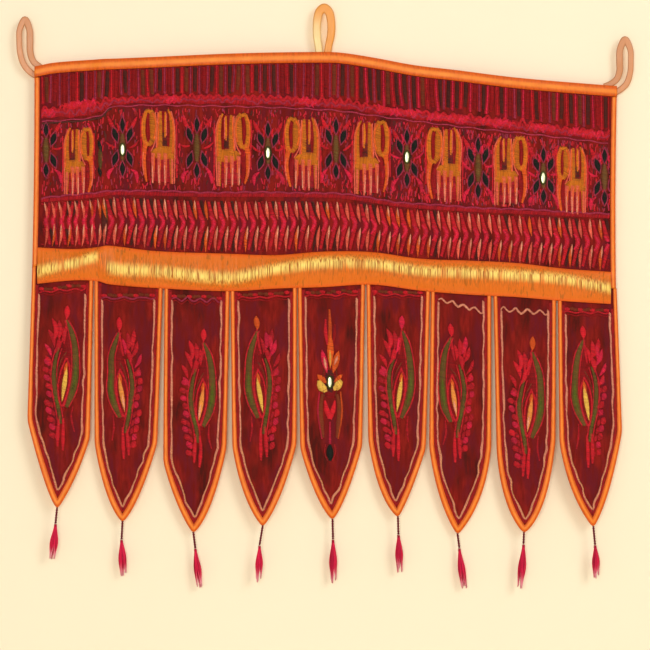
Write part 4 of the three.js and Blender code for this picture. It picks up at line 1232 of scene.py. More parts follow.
class TORAN_OT_borders(ToranPiece, bpy.types.Operator):
    """Embroidered borders of the header: upright bars, scallops and the fern row"""

    bl_idname = "toran.borders"
    bl_label = "Header borders"

    def execute(self, context):
        sizes = context.scene.toran_sizes
        self.bars(sizes)
        self.scallops(sizes)
        self.ferns(sizes)
        return {"FINISHED"}

    @staticmethod
    def bars(sizes):
        """Dull pink bars under the top strip, with dark blocks between them."""
        work = Needlework("bar_border", fold, HEADER_CLOTH, 11, HEADER_REACH)
        first = LEFT_EDGE["top"] + sizes.side_binding + 4
        last = RIGHT_EDGE["top"] - sizes.side_binding - 3
        count = int(round((last - first) / sizes.bar_step))
        for i, x in enumerate(np.linspace(first, last, count + 1)):
            x = x + work.draw.normal(0, 0.5)
            top = float(along(HEADER_TOP_EDGE, "z", x)) - sizes.top_binding - 1.6
            end = float(along(BANDS, "bars_end", x)) + work.draw.normal(0, 2)
            lean = work.draw.normal(0, 1.2) + 3.0 * math.exp(-((x - 120) / 60) ** 2)
            bar = np.array([[x, top], [x + lean * 0.3, (top + end) / 2], [x + lean, end]])
            shade = "rose" if x > 60 and i % 2 else "blush" if i % 4 else "crimson"
            work.satin(bar, [2.6, 3.0, 3.2, 3.8], shade, lift=0.25, mood=work.draw.normal(-0.06, 0.1))
            for side in (-1, 1):
                shifted = bar + np.array([side * 2.7, 0])
                work.stem(shifted, "deep_red", width=2.0, mood=work.draw.normal(0.05, 0.1))
            if i < count:
                middle = bar + np.array([sizes.bar_step / 2, -1.5])
                middle[-1, 1] += 5
                shade = ("umber", "umber", "brown", "deep_red")[work.draw.integers(4)]
                work.satin(middle, [6.0, 6.8, 6.6, 5.4], shade, step=1.25, mood=work.draw.normal(0.05, 0.1))
        work.finish_piece()

    @staticmethod
    def scallops(sizes):
        """Crimson band of uneven scallops under the bars, and the thin line above the fern row."""
        work = Needlework("scallop_lines", fold, HEADER_CLOTH, 12, HEADER_REACH)
        fine = np.arange(LEFT_EDGE["top"] + 9, RIGHT_EDGE["top"] - 8, 3.0)
        top = along(BANDS, "bars_end", fine)
        end = along(BANDS, "scallops_end", fine)
        swell = 0.66 + 0.1 * np.sin(fine / 11) + 0.08 * np.sin(fine / 4.7)
        work.satin(np.column_stack([fine, (top + end) / 2 - 1]), (top - end) * swell, "crimson",
                   slant=0.12, step=1.2, mood=-0.2)
        x = np.arange(LEFT_EDGE["top"] + 9, RIGHT_EDGE["top"] - 8, sizes.bar_step / 2)
        top = along(BANDS, "bars_end", x) - 2
        end = along(BANDS, "scallops_end", x) + 2
        for thread, high, low, width in (("crimson", 0.05, 0.5, 3.8), ("blush", 0.5, 0.8, 2.6)):
            swing = np.where(np.arange(len(x)) % 2, high, low) + work.draw.normal(0, 0.1, len(x))
            work.satin(np.column_stack([x, top + (end - top) * swing]), [width], thread, slant=0.5,
                       lift=0.3, mood=-0.04)
        bright = (
            (-452, -430, 0.0), (-416, -364, 9.0), (-256, -226, -1.0), (-40, -12, 0.0), (86, 152, 1.0),
            (166, 232, -1.0), (244, 300, 0.0), (330, 372, 1.0), (392, 446, 0.0),
        )
        for low, high, raised in bright:
            inside = np.arange(low, high, 4.5)
            middle = (along(BANDS, "bars_end", inside) + along(BANDS, "scallops_end", inside)) / 2 + raised
            swell = work.draw.uniform(0.55, 1.1, 14)
            work.satin(np.column_stack([inside, middle]), 12 * swell, "crimson", slant=0.3, step=1.3,
                       lift=0.3, mood=0.2)
            spots = work.draw.uniform(low, high, int((high - low) / 4))
            level = np.interp(spots, inside, middle) + work.draw.uniform(-5, 5, len(spots))
            for x, z in zip(spots, level):
                lean = work.draw.normal(0, 2.2)
                work.leaf(np.array([x - lean, z + 4]), np.array([x + lean, z - 4]), 4.0, "rose", lift=0.5,
                          mood=work.draw.normal(0.02, 0.1))
        lower = along(BANDS, "scallops_end", fine) - 1.5
        work.stem(np.column_stack([fine, lower + 0.9 * np.sin(fine / 6)]), "blush", width=2.0, mood=0.1)
        dark = np.column_stack([fine, lower - 3.0])
        work.stem(dark[dark[:, 0] < -340], "umber", width=3.4)
        base = along(BANDS, "line", fine)
        work.satin(np.column_stack([fine, base - 3.0]), [6.5], "crimson", slant=0.2, step=1.3, mood=-0.24)
        bumps = base + 1.9 * np.abs(np.sin(fine / 9)) + 0.6 * np.sin(fine / 23)
        work.satin(np.column_stack([fine, bumps]), [3.0], "blush", slant=0.6, lift=0.3, mood=0.06)
        work.finish_piece()

    @staticmethod
    def ferns(sizes):
        """Two rows of slanting leaves on a crimson zigzag, turning at the crease."""
        work = Needlework("fern_border", fold, HEADER_CLOTH, 13, HEADER_REACH)
        places = []
        for low, high, step, turn in ((-448, -352, 0.76, -1), (-352, 466, 1, 1)):
            x = np.arange(low, high, sizes.fern_step * step)
            places += [(value, turn, step) for value in x]
        for x, turn, step in places:
            x = x + work.draw.normal(0, 0.7)
            levels = ("fern_top", "fern_middle", "fern_end")
            top, middle, end = (float(along(BANDS, level, x)) for level in levels)
            wide = sizes.fern_step * step * turn

            def at(*pairs):
                """u across one step, v from 1 at the top through 0 at the middle to -1 at the foot."""
                return [np.array([x + wide * u, middle + (top - middle if v > 0 else middle - end) * v])
                        for u, v in pairs]
            shade = work.draw.normal(0, 0.07)
            work.satin(at((0.3, 0.94), (0.52, 0.5), (0.8, 0.03)), [4.5, 6.5, 8.5], "crimson", step=1.25,
                       mood=shade)
            work.satin(at((0.8, -0.03), (0.56, -0.5), (0.3, -0.9)), [8.5, 6.0, 4.5], "crimson", step=1.25,
                       mood=shade - 0.02)
            work.satin(at((0.44, 0.3), (0.86, 0.0), (0.44, -0.3)), [3.0, 5.6, 3.0], "rose", lift=0.25,
                       mood=work.draw.normal(0, 0.1))
            behind = (((0.62, 0.98), (0.84, 0.6), (1.02, 0.3)), ((1.08, -0.3), (0.86, -0.6), (0.66, -0.96)))
            for pairs in behind:
                dark = ("umber", "deep_red", "deep_red")[work.draw.integers(3)]
                work.satin(at(*pairs), [4.4, 5.6, 4.6, 2.6], dark, step=1.3, lift=0.12,
                           mood=work.draw.normal(0, 0.1))
            slim = step ** 0.5
            for line, wide in ((((-0.06, 1.0), (0.6, 0.14)), 5.8), (((0.68, -0.12), (0.04, -0.99)), 5.4)):
                pale = ("coral", "coral", "coral", "orange")[work.draw.integers(4)]
                work.leaf(*at(*line), wide * slim, pale, bend=-0.04 * turn, lift=0.5,
                          mood=work.draw.normal(0, 0.16))
                tip = (line[0], ((line[0][0] + line[1][0]) / 2, (line[0][1] + line[1][1]) / 2))
                if work.draw.uniform() < 0.8:
                    work.leaf(*at(*tip), 3.0 * slim, "salmon", lift=0.9, mood=work.draw.normal(0.1, 0.2))
        work.satin([(-352, -300), (-351, -334), (-352, -366)], [5, 9, 10, 8, 6], "umber", mood=0.1)
        work.satin([(-349, -306), (-347, -330)], [2, 4, 2], "olive", lift=0.2, mood=-0.2)
        work.finish_piece()


class TORAN_OT_figures(ToranPiece, bpy.types.Operator):
    """Elephants and six-petalled stars of the header"""

    bl_idname = "toran.figures"
    bl_label = "Elephants and stars"

    def execute(self, context):
        self.seeding()
        work = Needlework("elephant_embroidery", fold, HEADER_CLOTH, 31, HEADER_REACH)
        for elephant in ELEPHANTS:
            self.elephant(work, elephant)
        work.finish_piece()
        work = Needlework("star_embroidery", fold, HEADER_CLOTH, 32, HEADER_REACH)
        for star in STARS:
            self.star(work, star)
        self.half_star(work)
        work.finish_piece()
        return {"FINISHED"}

    @staticmethod
    def seeding():
        """Loose upright stitches of crimson between the figures, closer together on the right."""
        work = Needlework("ground_seeding", fold, HEADER_CLOTH, 33, HEADER_REACH)
        x = work.draw.uniform(*HEADER_REACH, 6400)
        low = along(BANDS, "line", x) + 4
        high = along(BANDS, "scallops_end", x) - 5
        share = work.draw.uniform(0, 1, len(x))
        edge = np.abs(share - 0.5) * 2
        keep = work.draw.uniform(0, 1, len(x)) < 0.2 + 0.34 * edge ** 2 + 0.3 * smoothstep((x + 60) / 160)
        x, share = x[keep], share[keep]
        z = low[keep] + (high - low)[keep] * share
        reach = work.draw.uniform(2.5, 5.5, len(x))
        lean = work.draw.normal(0, 0.7, len(x))
        start = np.column_stack([x - lean, np.minimum(z + reach, high[keep])])
        end = np.column_stack([x + lean, np.maximum(z - reach, low[keep])])
        for i, thread in enumerate(("crimson", "blush", "crimson", "deep_red", "umber", "rose")):
            work.lay(start[i::6], end[i::6], thread, width=2.3, rise=0.35, mood=(-0.1, -0.2)[i % 2])
        work.finish_piece()

    @staticmethod
    def elephant(work, box):
        """One elephant in its box: u runs from tail to head and v from back to feet."""
        width = box["right"] - box["left"]
        height = box["top"] - box["bottom"]

        def at(*pairs):
            line = []
            for u, v in pairs:
                u = u + work.draw.normal(0, 0.006)
                x = box["left"] + width * u if box["faces"] > 0 else box["right"] - width * u
                line.append((x, box["top"] - height * v))
            return line
        filling = {"step": 1.25, "slant": 0.1}
        work.satin(at((0.33, 0.02), (0.33, 0.5)), [20, 22, 22], "deep_red", mood=0.15, **filling)
        work.satin(at((0.34, 0.3), (0.34, 0.5)), [9, 12, 13], "umber", lift=0.15, mood=0.2, **filling)
        work.satin(at((0.7, 0.03), (0.68, 0.3), (0.74, 0.52), (0.82, 0.7), (0.78, 0.94)), [6, 7, 8, 9, 5],
                   "deep_red", mood=0.2, **filling)
        work.satin(at((0.4, 0.62), (0.4, 0.95)), [33, 33, 31], "crimson", mood=-0.28, **filling)
        work.satin(at((0.83, 0.06), (0.83, 0.44)), [8, 9, 8], "deep_red", lift=0.1, mood=0.3, **filling)
        belly = at((0.06, 0.57), (0.25, 0.57), (0.45, 0.57), (0.6, 0.55), (0.66, 0.53))
        work.satin(belly, [14, 20, 22, 22, 18, 10], "gold", lift=0.35, slant=0.1, mood=0.1)
        rear = at((0.2, 0.0), (0.12, 0.09), (0.08, 0.28), (0.09, 0.5), (0.1, 0.72), (0.1, 0.98))
        work.satin(rear, [3.0, 7.0, 8.4, 9.0, 7.4, 5.6, 3.4], "gold", lift=0.5, mood=0.04)
        work.stem(at((0.13, 0.02), (0.01, 0.2), (0.01, 0.55), (0.03, 0.98)), "coral", width=2.4, lift=0.5)
        work.stem(at((0.15, 0.04), (0.06, 0.16), (0.045, 0.34), (0.055, 0.58)), "orange", width=3.2, lift=0.9)
        work.satin(at((0.29, 0.03), (0.29, 0.18), (0.29, 0.36)), [2.6, 4.2, 4.6, 2.6], "gold",
                   lift=0.5, mood=0.4)
        work.stem(at((0.255, 0.05), (0.26, 0.34)), "coral", width=1.8, lift=0.7)
        work.satin(at((0.44, 0.02), (0.45, 0.25), (0.47, 0.54)), [4.4, 7.4, 9.0, 9.0], "gold", lift=0.5)
        work.stem(at((0.51, 0.03), (0.535, 0.25), (0.56, 0.5)), "coral", width=2.4, lift=0.6)
        for u, foot in ((0.29, 1.0), (0.47, 0.99), (0.66, 0.97)):
            work.satin(at((u, 0.58), (u + 0.005, 0.8), (u, foot)), [6.8, 5.8, 5.2, 3.0], "coral", lift=0.55,
                       mood=0.04)
            work.stem(at((u + 0.02, 0.74), (u + 0.01, 0.97)), "salmon", width=2.0, lift=0.8)
            work.stem(at((u - 0.03, 0.6), (u - 0.03, 0.8)), "orange", width=2.2, lift=0.8)
        work.satin(at((0.085, 0.66), (0.09, 0.98)), [4.0, 4.6, 3.0], "coral", lift=0.85, mood=0.04)
        near = at((0.72, 0.0), (0.66, 0.08), (0.645, 0.24), (0.68, 0.38), (0.78, 0.47))
        work.satin(near, [5.0, 11.0, 14.0, 13.0, 10.0, 6.0], "gold", lift=0.5, mood=-0.02)
        work.stem(at((0.68, 0.04), (0.6, 0.12), (0.585, 0.26), (0.63, 0.38)), "orange", width=3.2, lift=0.9)
        work.stem(at((0.49, 0.04), (0.5, 0.26), (0.52, 0.5)), "orange", width=2.6, lift=0.9)
        far = at((0.74, 0.03), (0.86, 0.015), (0.935, 0.14), (0.945, 0.3), (0.9, 0.42), (0.8, 0.47))
        work.satin(far, [5.6, 6.4, 7.0, 7.0, 6.6, 6.0], "gold", lift=0.6, mood=0.12)
        work.stem(at((0.9, 0.02), (0.985, 0.14), (0.99, 0.32), (0.95, 0.46)), "orange", width=3.2, lift=0.7)
        work.stem(at((0.6, 0.03), (0.555, 0.2), (0.6, 0.42), (0.72, 0.55)), "coral", width=2.2, lift=0.5)
        work.stem(at((1.02, 0.08), (1.04, 0.3), (1.02, 0.5), (1.03, 0.75)), "crimson", width=2.6, lift=0.3)
        work.stem(at((-0.04, 0.12), (-0.05, 0.4), (-0.05, 0.9)), "crimson", width=2.6, lift=0.3)
        trunk = at((0.88, 0.42), (0.93, 0.54), (0.95, 0.68), (0.92, 0.82), (0.85, 0.95))
        work.satin(trunk, [9.0, 7.4, 6.4, 5.6, 3.4], "orange", lift=0.5, mood=0.12)
        work.stem(at((0.965, 0.56), (0.985, 0.7), (0.94, 0.86)), "coral", width=2.2, lift=0.8)
        work.satin(at((0.83, 0.12), (0.82, 0.38)), [2.6, 5.0, 2.6], "deep_red", lift=1.0, mood=0.2)

    @staticmethod
    def star(work, star):
        """Six dark leaves round an olive middle, edged in dull pink, with slanting corner strokes."""
        middle = np.array([star["x"], star["z"]])

        def at(u, v):
            return middle + np.array([u, v * star["half"] / 50])
        work.satin([at(0, 24), at(0, -24)], [6, 12, 13, 12, 6], "brown", lift=0.05, mood=-0.12)
        work.satin([at(0, 21), at(0, -21)], [4, 7.5, 8.5, 7.5, 4], "olive", lift=0.2, mood=0.04)
        leaves = (
            (at(0, 49), at(0, 24), 7.0), (at(0, -25), at(0, -49), 7.6),
            (at(-15, 33), at(-8, 8), 8.4), (at(15, 33), at(8, 8), 8.4),
            (at(-15, -31), at(-8, -7), 8.4), (at(15, -31), at(8, -7), 8.4),
        )
        for start, end, width in leaves:
            work.leaf(start, end, width, "bottle_green", lift=0.3)
            way = (end - start) / np.linalg.norm(end - start)
            side = np.array([-way[1], way[0]]) * (width / 2 + 1.3)
            half = (start + end) / 2
            for turn in (-1, 1):
                work.stem([start - way * 2.5, half + side * turn, end + way * 2], "blush", width=2.2,
                          lift=0.2, mood=-0.2)
        corners = (
            (-23, 50, -11, 30, -15, 33), (23, 50, 11, 30, 15, 33), (-14, -34, -22, -55, -22, -44),
            (14, -34, 24, -58, 22, -44), (-26, 8, -12, 0, -19, 2), (26, 8, 12, 0, 19, 2),
            (-9, 40, -8, 24, -6, 32), (9, 40, 8, 24, 6, 32),
        )
        for i, (u0, v0, u1, v1, mid_u, mid_v) in enumerate(corners):
            sway = work.draw.normal(0, 1.6, 2)
            thread = "rose" if i in (2, 3) and star["x"] < 80 or star["x"] > 80 and i > 1 else "crimson"
            width = 6.6 if i < 4 else 4.0
            work.satin([at(u0, v0 + sway[0]), at(mid_u, mid_v), at(u1, v1 + sway[1])],
                       [1.8, width * 0.9, width, 2.4], thread, lift=0.1, mood=work.draw.normal(0.06, 0.08))

    @staticmethod
    def half_star(work):
        """Faint pair of leaves beside the crease."""
        work.satin([(-358, -214), (-358, -250)], [3.0, 7.5, 7.0, 3.0], "olive", mood=-0.2)
        work.leaf(np.array([-361, -204]), np.array([-356, -222]), 6.0, "bottle_green", lift=0.2, mood=0.2)
        work.leaf(np.array([-360, -246]), np.array([-357, -262]), 6.0, "bottle_green", lift=0.2, mood=0.2)
        work.satin([(-378, -176), (-372, -194), (-376, -208)], [3, 6, 3], "rose", lift=0.1)


class TORAN_OT_flag_work(ToranPiece, bpy.types.Operator):
    """Embroidery of the flags: framing lines, paisleys and the flower on the middle flag"""

    bl_idname = "toran.flag_work"
    bl_label = "Flag embroidery"

    def execute(self, context):
        sizes = context.scene.toran_sizes
        for number, (flag, top) in enumerate(zip(FLAGS, FLAG_TOPS), 1):
            work = Needlework(f"flag_embroidery_{number}", flag_fold(flag), FLAG_CLOTH, 700 + number)
            self.frame_lines(work, flag, top, sizes)
            for paisley in PAISLEYS:
                if int(paisley["flag"]) == number - 1:
                    self.paisley(work, paisley)
            if number - 1 == FLOWER_FLAG:
                self.flower(work)
            work.finish_piece()
        return {"FINISHED"}

    @staticmethod
    def frame_lines(work, flag, top, sizes):
        """Deep red rows beside the binding, then a pale uneven line, closed by a wavy row at the top."""
        for row in range(4):
            line = inset_line(flag, sizes, 0.9 + row * 1.2)
            line = line[line[:, 1] < seam_height(line[:, 0]) - 30]
            work.stem(line[::2], "deep_red", width=2.0, length=4.2, mood=0.16 - 0.08 * row)
        line = inset_line(flag, sizes, 6.0)
        start = np.array([line[0, 0], top["left_z"]])
        end = np.array([line[-1, 0], top["right_z"]])
        line = line[line[:, 1] < top["left_z"] - 2]
        low = line[:, 1].argmin()
        line = np.vstack([evenly(line[:low + 1], 13.0)[0], evenly(line[low:], 13.0)[0][1:]])
        slanted = line[:, 1] < flag["right_z"]
        sway = work.draw.normal(0, 0.55, len(line)) + work.draw.normal(0, 0.9, len(line)) * slanted
        line[1:-1, 0] += sway[1:-1]
        share = np.linspace(0, 1, 90)
        width = 3.1 + 0.6 * np.sin(share * 40) + 0.4 * np.sin(share * 97)
        work.satin(line, width, "salmon", slant=0.9, step=1.15, lift=0.15, mood=-0.1)
        pale = line[len(line) // 3: -len(line) // 3]
        work.satin(pale + [0.4, 0.6], [1.3], "flame", slant=0.9, step=3.2, lift=0.5, mood=-0.1)
        t = np.linspace(0, 1, int(top["waves"]) * 4 + 1)
        row = start + (end - start) * t[:, None]
        swing = np.array([0, 1, 0, -1])[np.arange(len(t)) % 4]
        row[:, 1] += top["height"] * swing + work.draw.normal(0, 0.6, len(t))
        thread = ("crimson", "blush", "salmon")[int(top["bold"])]
        work.satin(row, [2.0, 2.6 + top["bold"] * 0.5, 2.2], thread, slant=0.7, lift=0.15, mood=-0.05)
        if top["bold"] < 2:
            work.satin(row + [0, -4.5], [1.6, 3.0, 1.6], "deep_red", slant=0.4)
            t = np.arange(0.04, 0.98, 0.1)
            spot = start + (end - start) * t[:, None] + work.draw.normal(0, 0.8, (len(t), 2))
            for i, (x, z) in enumerate(spot):
                thread = "brown" if i % 3 else "crimson"
                work.satin([(x - 3.5, z + 5), (x + 3.5, z + 4)], [4, 6, 4], thread, slant=0.1, mood=0.1)

    @staticmethod
    def paisley(work, place):
        """One paisley: two green leaves round a flame, with buds, a row of dots and two stems."""
        middle = np.array([place["x"], place["z"]])

        def at(*pairs):
            sway = work.draw.normal(0, 0.5, (len(pairs), 2))
            return [middle + np.array([place["faces"] * u, v * place["tall"]]) + moved
                    for (u, v), moved in zip(pairs, sway)]
        inside = at((3, 84), (6, 60), (5, 20), (1, -20), (-3, -48))
        work.satin(inside, [6, 19, 27, 25, 17, 5], "deep_red", slant=0.1, step=1.4)
        heavy = at((5, 102), (12, 84), (16.5, 62), (18.5, 36), (18, 10), (13, -14), (4, -36))
        work.satin(heavy, [4, 8, 9.5, 10, 11, 10.5, 6], "olive", lift=0.3, mood=work.draw.normal(0, 0.05))
        work.satin(heavy[3:6], [1.5, 5, 7, 5, 1.5], "leaf_green", lift=0.6, mood=work.draw.normal(0, 0.06))
        for shift in (-1, 1):
            gaps = (2.8, 5.0, 5.9, 6.3, 6.8, 6.4, 4)
            edge = [p + np.array([shift * place["faces"] * gap, 0]) for p, gap in zip(heavy, gaps)]
            work.stem(edge, "crimson", width=2.6, lift=0.2, mood=-0.2)
        light = at((-8, 58), (-14, 36), (-16, 12), (-13, -16), (-8, -38), (-5, -62))
        work.satin(light, [3, 6, 7, 7, 6.5, 4.4], "olive", lift=0.3, mood=-0.04)
        work.satin(light[3:5], [1.5, 4.5, 1.5], "leaf_green", lift=0.6)
        for shift in (-1, 1):
            edge = [p + np.array([shift * place["faces"] * 4.6, 0]) for p in light]
            work.stem(edge, "crimson", width=2.2, lift=0.2, mood=-0.12)
        bud = ("crimson", "rose", "orange")[int(place["bud"])]
        work.leaf(*at((5.5, 127), (4.5, 105)), 9.6, bud, lift=0.35, mood=(0.3, 0.1, -0.1)[int(place["bud"])])
        work.satin(at((5, 106), (3, 88), (-1, 66)), [3.0, 4.6, 3.4], "crimson", lift=0.3, mood=-0.04)
        outline = at((3.5, 42), (9.5, 22), (7.5, -8), (-3, -36), (-8.5, -10), (-5, 20), (3.5, 42))
        work.satin(outline, [3.4, 3.8, 3.0], "crimson", lift=0.4, mood=0.02)
        work.stem(at((3.5, 52), (-5, 36), (-11, 8), (-9, -24)), "brown", width=2.0, lift=0.4)
        heart = "flame" if place["yellow"] else "amber"
        work.leaf(*at((4.2, 29), (-3.8, -27)), 7.6, heart, lift=0.6, mood=0.34)
        work.leaf(*at((4.8, 36), (1.4, 16)), 6.0, "orange", lift=0.5, mood=-0.04)
        if not place["yellow"]:
            work.leaf(*at((0, 0), (-3.4, -24)), 4.0, "salmon", lift=1.0, mood=0.3)
        petals = (
            ((-19, 106), (-12, 76), 8.0), ((-8, 102), (-8, 72), 8.6), ((-25, 88), (-14, 60), 7.4),
            ((0, 92), (-5, 66), 6.4), ((-31, 66), (-20, 44), 6.4), ((-7, 76), (-13, 50), 8.4),
            ((-15, 96), (-16, 70), 6.6), ((-28, 46), (-20, 30), 6.4),
        )
        for start, end, width in petals:
            thread = "rose" if work.draw.uniform() < 0.35 else "crimson"
            work.leaf(*at(start, end), width, thread, bend=0.08, lift=0.2, mood=work.draw.normal(0, 0.12))
        for i, height in enumerate(np.arange(36, -82, -13.0)):
            out = -26 - 3 * math.sin(i * 1.3) + (5 if height < -40 else 0)
            thread = "crimson" if i % 2 else "rose"
            work.leaf(*at((out - 3.0, height + 5.4), (out + 3.0, height - 5.4)), 9.4, thread, lift=0.1,
                      mood=work.draw.normal(-0.12, 0.1))
            work.leaf(*at((out + 5, height + 2), (out + 9, height - 9)), 6.0, "crimson", mood=-0.26)
        work.satin(at((-7, -50), (-9, -70), (-10, -98)), [3.6, 5.2, 6.4, 3.4], "crimson", lift=0.2, mood=0.08)
        work.satin(at((-1, -54), (-1, -74), (-2, -104)), [3.6, 5.2, 6.4, 3.4], "crimson", lift=0.2, mood=0.14)
        work.satin(at((14, -34), (13, -54), (16, -74)), [2.0, 3.8, 2.0], "crimson", mood=-0.2)

    @staticmethod
    def flower(work):
        """Flower on the middle flag, round its mirror, with a lamp shape below it."""
        middle = np.array([9.6, -590.4])

        def at(*pairs):
            return [middle + np.array(pair) for pair in pairs]
        work.satin(at((0, 24), (0, -24)), [16, 26, 30, 24, 12], "deep_red", slant=0.1, step=1.4)
        work.satin(at((0, 19), (0, -15)), [8, 15, 17, 15, 8], "bottle_green", lift=0.1, mood=0.3)
        work.satin(at((-1, 116), (0, 92), (0, 66)), [3.0, 5.6, 6.6], "orange", mood=-0.4)
        work.satin(at((-7, 100), (-7, 80), (-4, 60)), [3.0, 6.0, 3.6], "crimson", mood=0.1)
        work.satin(at((8, 92), (7, 76), (5, 60)), [2.4, 5.0, 3.0], "deep_red", mood=0.1)
        work.leaf(*at((1, 76), (0.5, 22)), 10.5, "orange", lift=0.4, mood=0.1)
        work.leaf(*at((0, 52), (0.5, 24)), 4.0, "flame", lift=0.8)
        work.leaf(*at((-13, 52), (-4.5, 14)), 9.4, "rose", lift=0.4, mood=0.14)
        work.leaf(*at((-9.5, 40), (-6, 20)), 4.6, "salmon", lift=0.9, mood=0.2)
        work.leaf(*at((14, 50), (4.5, 14)), 11.0, "orange", lift=0.4, mood=-0.02)
        work.leaf(*at((12.5, 42), (7, 28)), 4.4, "salmon", lift=0.9)
        work.satin(at((-17, 2), (-13, -8), (-7, -15)), [6, 12, 13, 6], "flame", lift=0.4, mood=0.4)
        work.leaf(*at((-20, 12), (-5, -2)), 9.0, "orange", lift=0.35, mood=0.1)
        work.satin(at((18, 2), (12, -6), (6, -11)), [7, 12, 12, 6], "flame", lift=0.4, mood=0.36)
        work.leaf(*at((20, 12), (6, 0)), 7.0, "orange", lift=0.35, mood=0.1)
        for side in (-1, 1):
            work.satin(at((side * 9, 22), (side * 12, 0), (side * 9, -22)), [2, 3.4, 2], "brown", lift=0.2)
            work.satin(at((side * 12, -20), (side * 15, -46), (side * 11, -88)), [4.4, 7.4, 7.4, 4.0],
                       "brown", lift=0.15, mood=0.45)
            work.satin(at((side * 17, -16), (side * 19, -48), (side * 13, -90)), [2.4, 4.0, 2.4],
                       "rose" if side < 0 else "orange", mood=-0.3)
            work.satin(at((side * 8, -30), (side * 4.5, -46), (0, -58)), [3.0, 8.6, 7.0], "crimson",
                       lift=0.25, mood=0.34)
            work.stem(at((side * 7.2, -100), (side * 8.6, -113), (side * 4, -125)), "deep_red", width=2.6)
        work.satin(at((0, -64), (0, -80), (0, -98)), [2.4, 3.6, 4.6], "rose", lift=0.2, mood=-0.3)
        work.satin(at((0, -101), (0, -113), (0, -125)), [4, 10, 11.5, 10, 4], "bottle_green", lift=0.25)


class TORAN_OT_declare(ToranPiece, bpy.types.Operator):
    """Works out the outline of each hung sheet and the pieces sewn on it, but keeps neither"""

    bl_idname = "toran.declare"
    bl_label = "Sheet sizes"

    def execute(self, context):
        x = np.linspace(LEFT_EDGE["top"] + EDGE_INSET, RIGHT_EDGE["top"] - EDGE_INSET, 200)
        top = np.column_stack([x, along(HEADER_TOP_EDGE, "z", x) - EDGE_INSET])
        bottom = np.column_stack([x, seam_height(x)])[::-1]
        outline = np.vstack([top, bottom])
        trims = ["top_strip", "side_strip_left", "side_strip_right", "bar_border", "scallop_lines",
                 "fern_border", "ground_seeding", "elephant_embroidery", "star_embroidery"]
        trims += [f"mirror_ring_{number}" for number in range(1, FLOWER_MIRROR)]
        for number, flag in enumerate(FLAGS, 1):
            outline = flag_stations(flag, EDGE_INSET)[1]
            trims = [f"flag_strip_{number}", f"flag_embroidery_{number}"]
            trims += [f"mirror_ring_{FLOWER_MIRROR}"] if number - 1 == FLOWER_FLAG else []
        return {"FINISHED"}


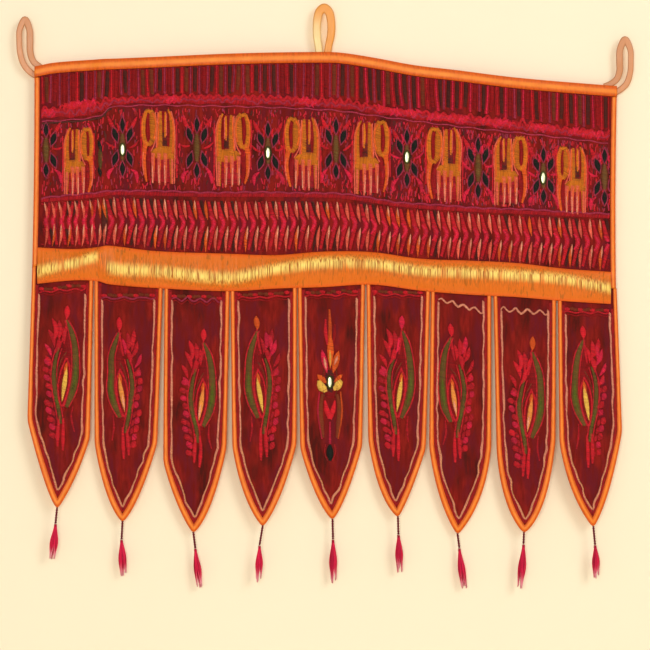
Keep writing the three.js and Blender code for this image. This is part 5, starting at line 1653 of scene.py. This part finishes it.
class TORAN_OT_stage(ToranPiece, bpy.types.Operator):
    """Pale wall and floor, soft light and the camera"""

    bl_idname = "toran.stage"
    bl_label = "Stage"

    def execute(self, context):
        scene = context.scene
        scene.view_settings.view_transform = "Standard"
        self.surface("pale_wall", "fef1d3", (0, 0.017, -0.4), (math.pi / 2, 0, 0), 3.2, True)
        self.surface("pale_floor", "f1e6cf", (0, 0, -1.25), (0, 0, 0), 9.0, False)
        world = scene.world or bpy.data.worlds.new("studio")
        scene.world = world
        world.use_nodes = True
        sky = world.node_tree.nodes["Background"]
        sky.inputs[0].default_value = (1.0, 0.99, 0.98, 1)
        sky.inputs[1].default_value = 0.47
        self.light("key", (3.0, -4.6, 1.7), 2.2, 100)
        self.light("front", (-0.5, -4.8, -0.1), 1.3, 66)
        self.light("back", (-1.2, 2.8, 1.0), 1.6, 40)
        view = bpy.data.cameras.new("front_view")
        view.lens = view.sensor_width * VIEW_DISTANCE / VIEW_WIDTH
        camera = bpy.data.objects.new("front_view", view)
        camera.location = (VIEW_X, -VIEW_DISTANCE, VIEW_Z)
        camera.rotation_euler = (math.pi / 2, 0, 0)
        bpy.context.collection.objects.link(camera)
        scene.camera = camera
        return {"FINISHED"}

    @staticmethod
    def surface(name, code, place, turn, size, one_sided):
        """A matt plane of the stage; the wall shows from its front only."""
        bpy.ops.object.select_all(action="DESELECT")
        bpy.ops.mesh.primitive_plane_add(size=size, location=place, rotation=turn)
        plane = bpy.context.object
        plane.name = name
        finish = Finish(name + "_paint", Roughness=0.95)
        mottle = finish.noise(finish.place(), 2.0, 2.0)
        shade = to_linear(code)
        finish.shade("Base Color", finish.blend(mottle, shade, tint(shade, 0.97)))
        if one_sided:
            back = finish.node("NewGeometry").outputs["Backfacing"]
            clear = finish.node("BsdfTransparent").outputs[0]
            mixed = finish.node("MixShader", i0=back, i1=finish.shader.outputs[0], i2=clear)
            finish.tree.links.new(mixed.outputs[0], finish.tree.nodes["Material Output"].inputs[0])
        plane.data.materials.append(finish.material)
        plane.visible_shadow = not one_sided

    @staticmethod
    def light(name, place, size, power):
        """A square soft light aimed at the middle of the hanging."""
        lamp = bpy.data.lights.new(name, "AREA")
        lamp.size = size
        lamp.energy = power
        lamp.color = (1.0, 0.99, 0.97)
        holder = bpy.data.objects.new(name, lamp)
        holder.location = place
        aim = np.array((0, 0, -0.45)) - np.array(place)
        aim = aim / np.linalg.norm(aim)
        holder.rotation_euler = (math.acos(-aim[2]), 0, math.atan2(-aim[0], aim[1]))
        bpy.context.collection.objects.link(holder)


OPERATORS = (
    TORAN_OT_header, TORAN_OT_flags, TORAN_OT_bindings, TORAN_OT_ribbon, TORAN_OT_loops,
    TORAN_OT_tassels, TORAN_OT_mirrors, TORAN_OT_borders, TORAN_OT_figures, TORAN_OT_flag_work,
    TORAN_OT_declare, TORAN_OT_stage,
)


class TORAN_PT_pieces(bpy.types.Panel):
    """Lists the pieces of the hanging in the order in which they are made."""

    bl_label = "Toran"
    bl_idname = "TORAN_PT_pieces"
    bl_space_type = "VIEW_3D"
    bl_region_type = "UI"
    bl_category = "Toran"

    def draw(self, context):
        for operator in OPERATORS:
            self.layout.operator(operator.bl_idname)
        for group in (context.scene.toran_sizes, context.scene.toran_colours):
            for name in group.bl_rna.properties.keys():
                if name not in {"rna_type", "name"}:
                    self.layout.prop(group, name)


CLASSES = (ToranSizes, ToranColours, *OPERATORS, TORAN_PT_pieces)


def register():
    """Adds the property groups, operators and panel."""
    for made in CLASSES:
        bpy.utils.register_class(made)
    bpy.types.Scene.toran_sizes = PointerProperty(type=ToranSizes)
    bpy.types.Scene.toran_colours = PointerProperty(type=ToranColours)


def unregister():
    """Takes them away again."""
    del bpy.types.Scene.toran_colours
    del bpy.types.Scene.toran_sizes
    for made in reversed(CLASSES):
        bpy.utils.unregister_class(made)


def main():
    """Makes every piece and the stage."""
    register()
    for operator in OPERATORS:
        group, name = operator.bl_idname.split(".")
        getattr(getattr(bpy.ops, group), name)()


if __name__ == "__main__":
    main()
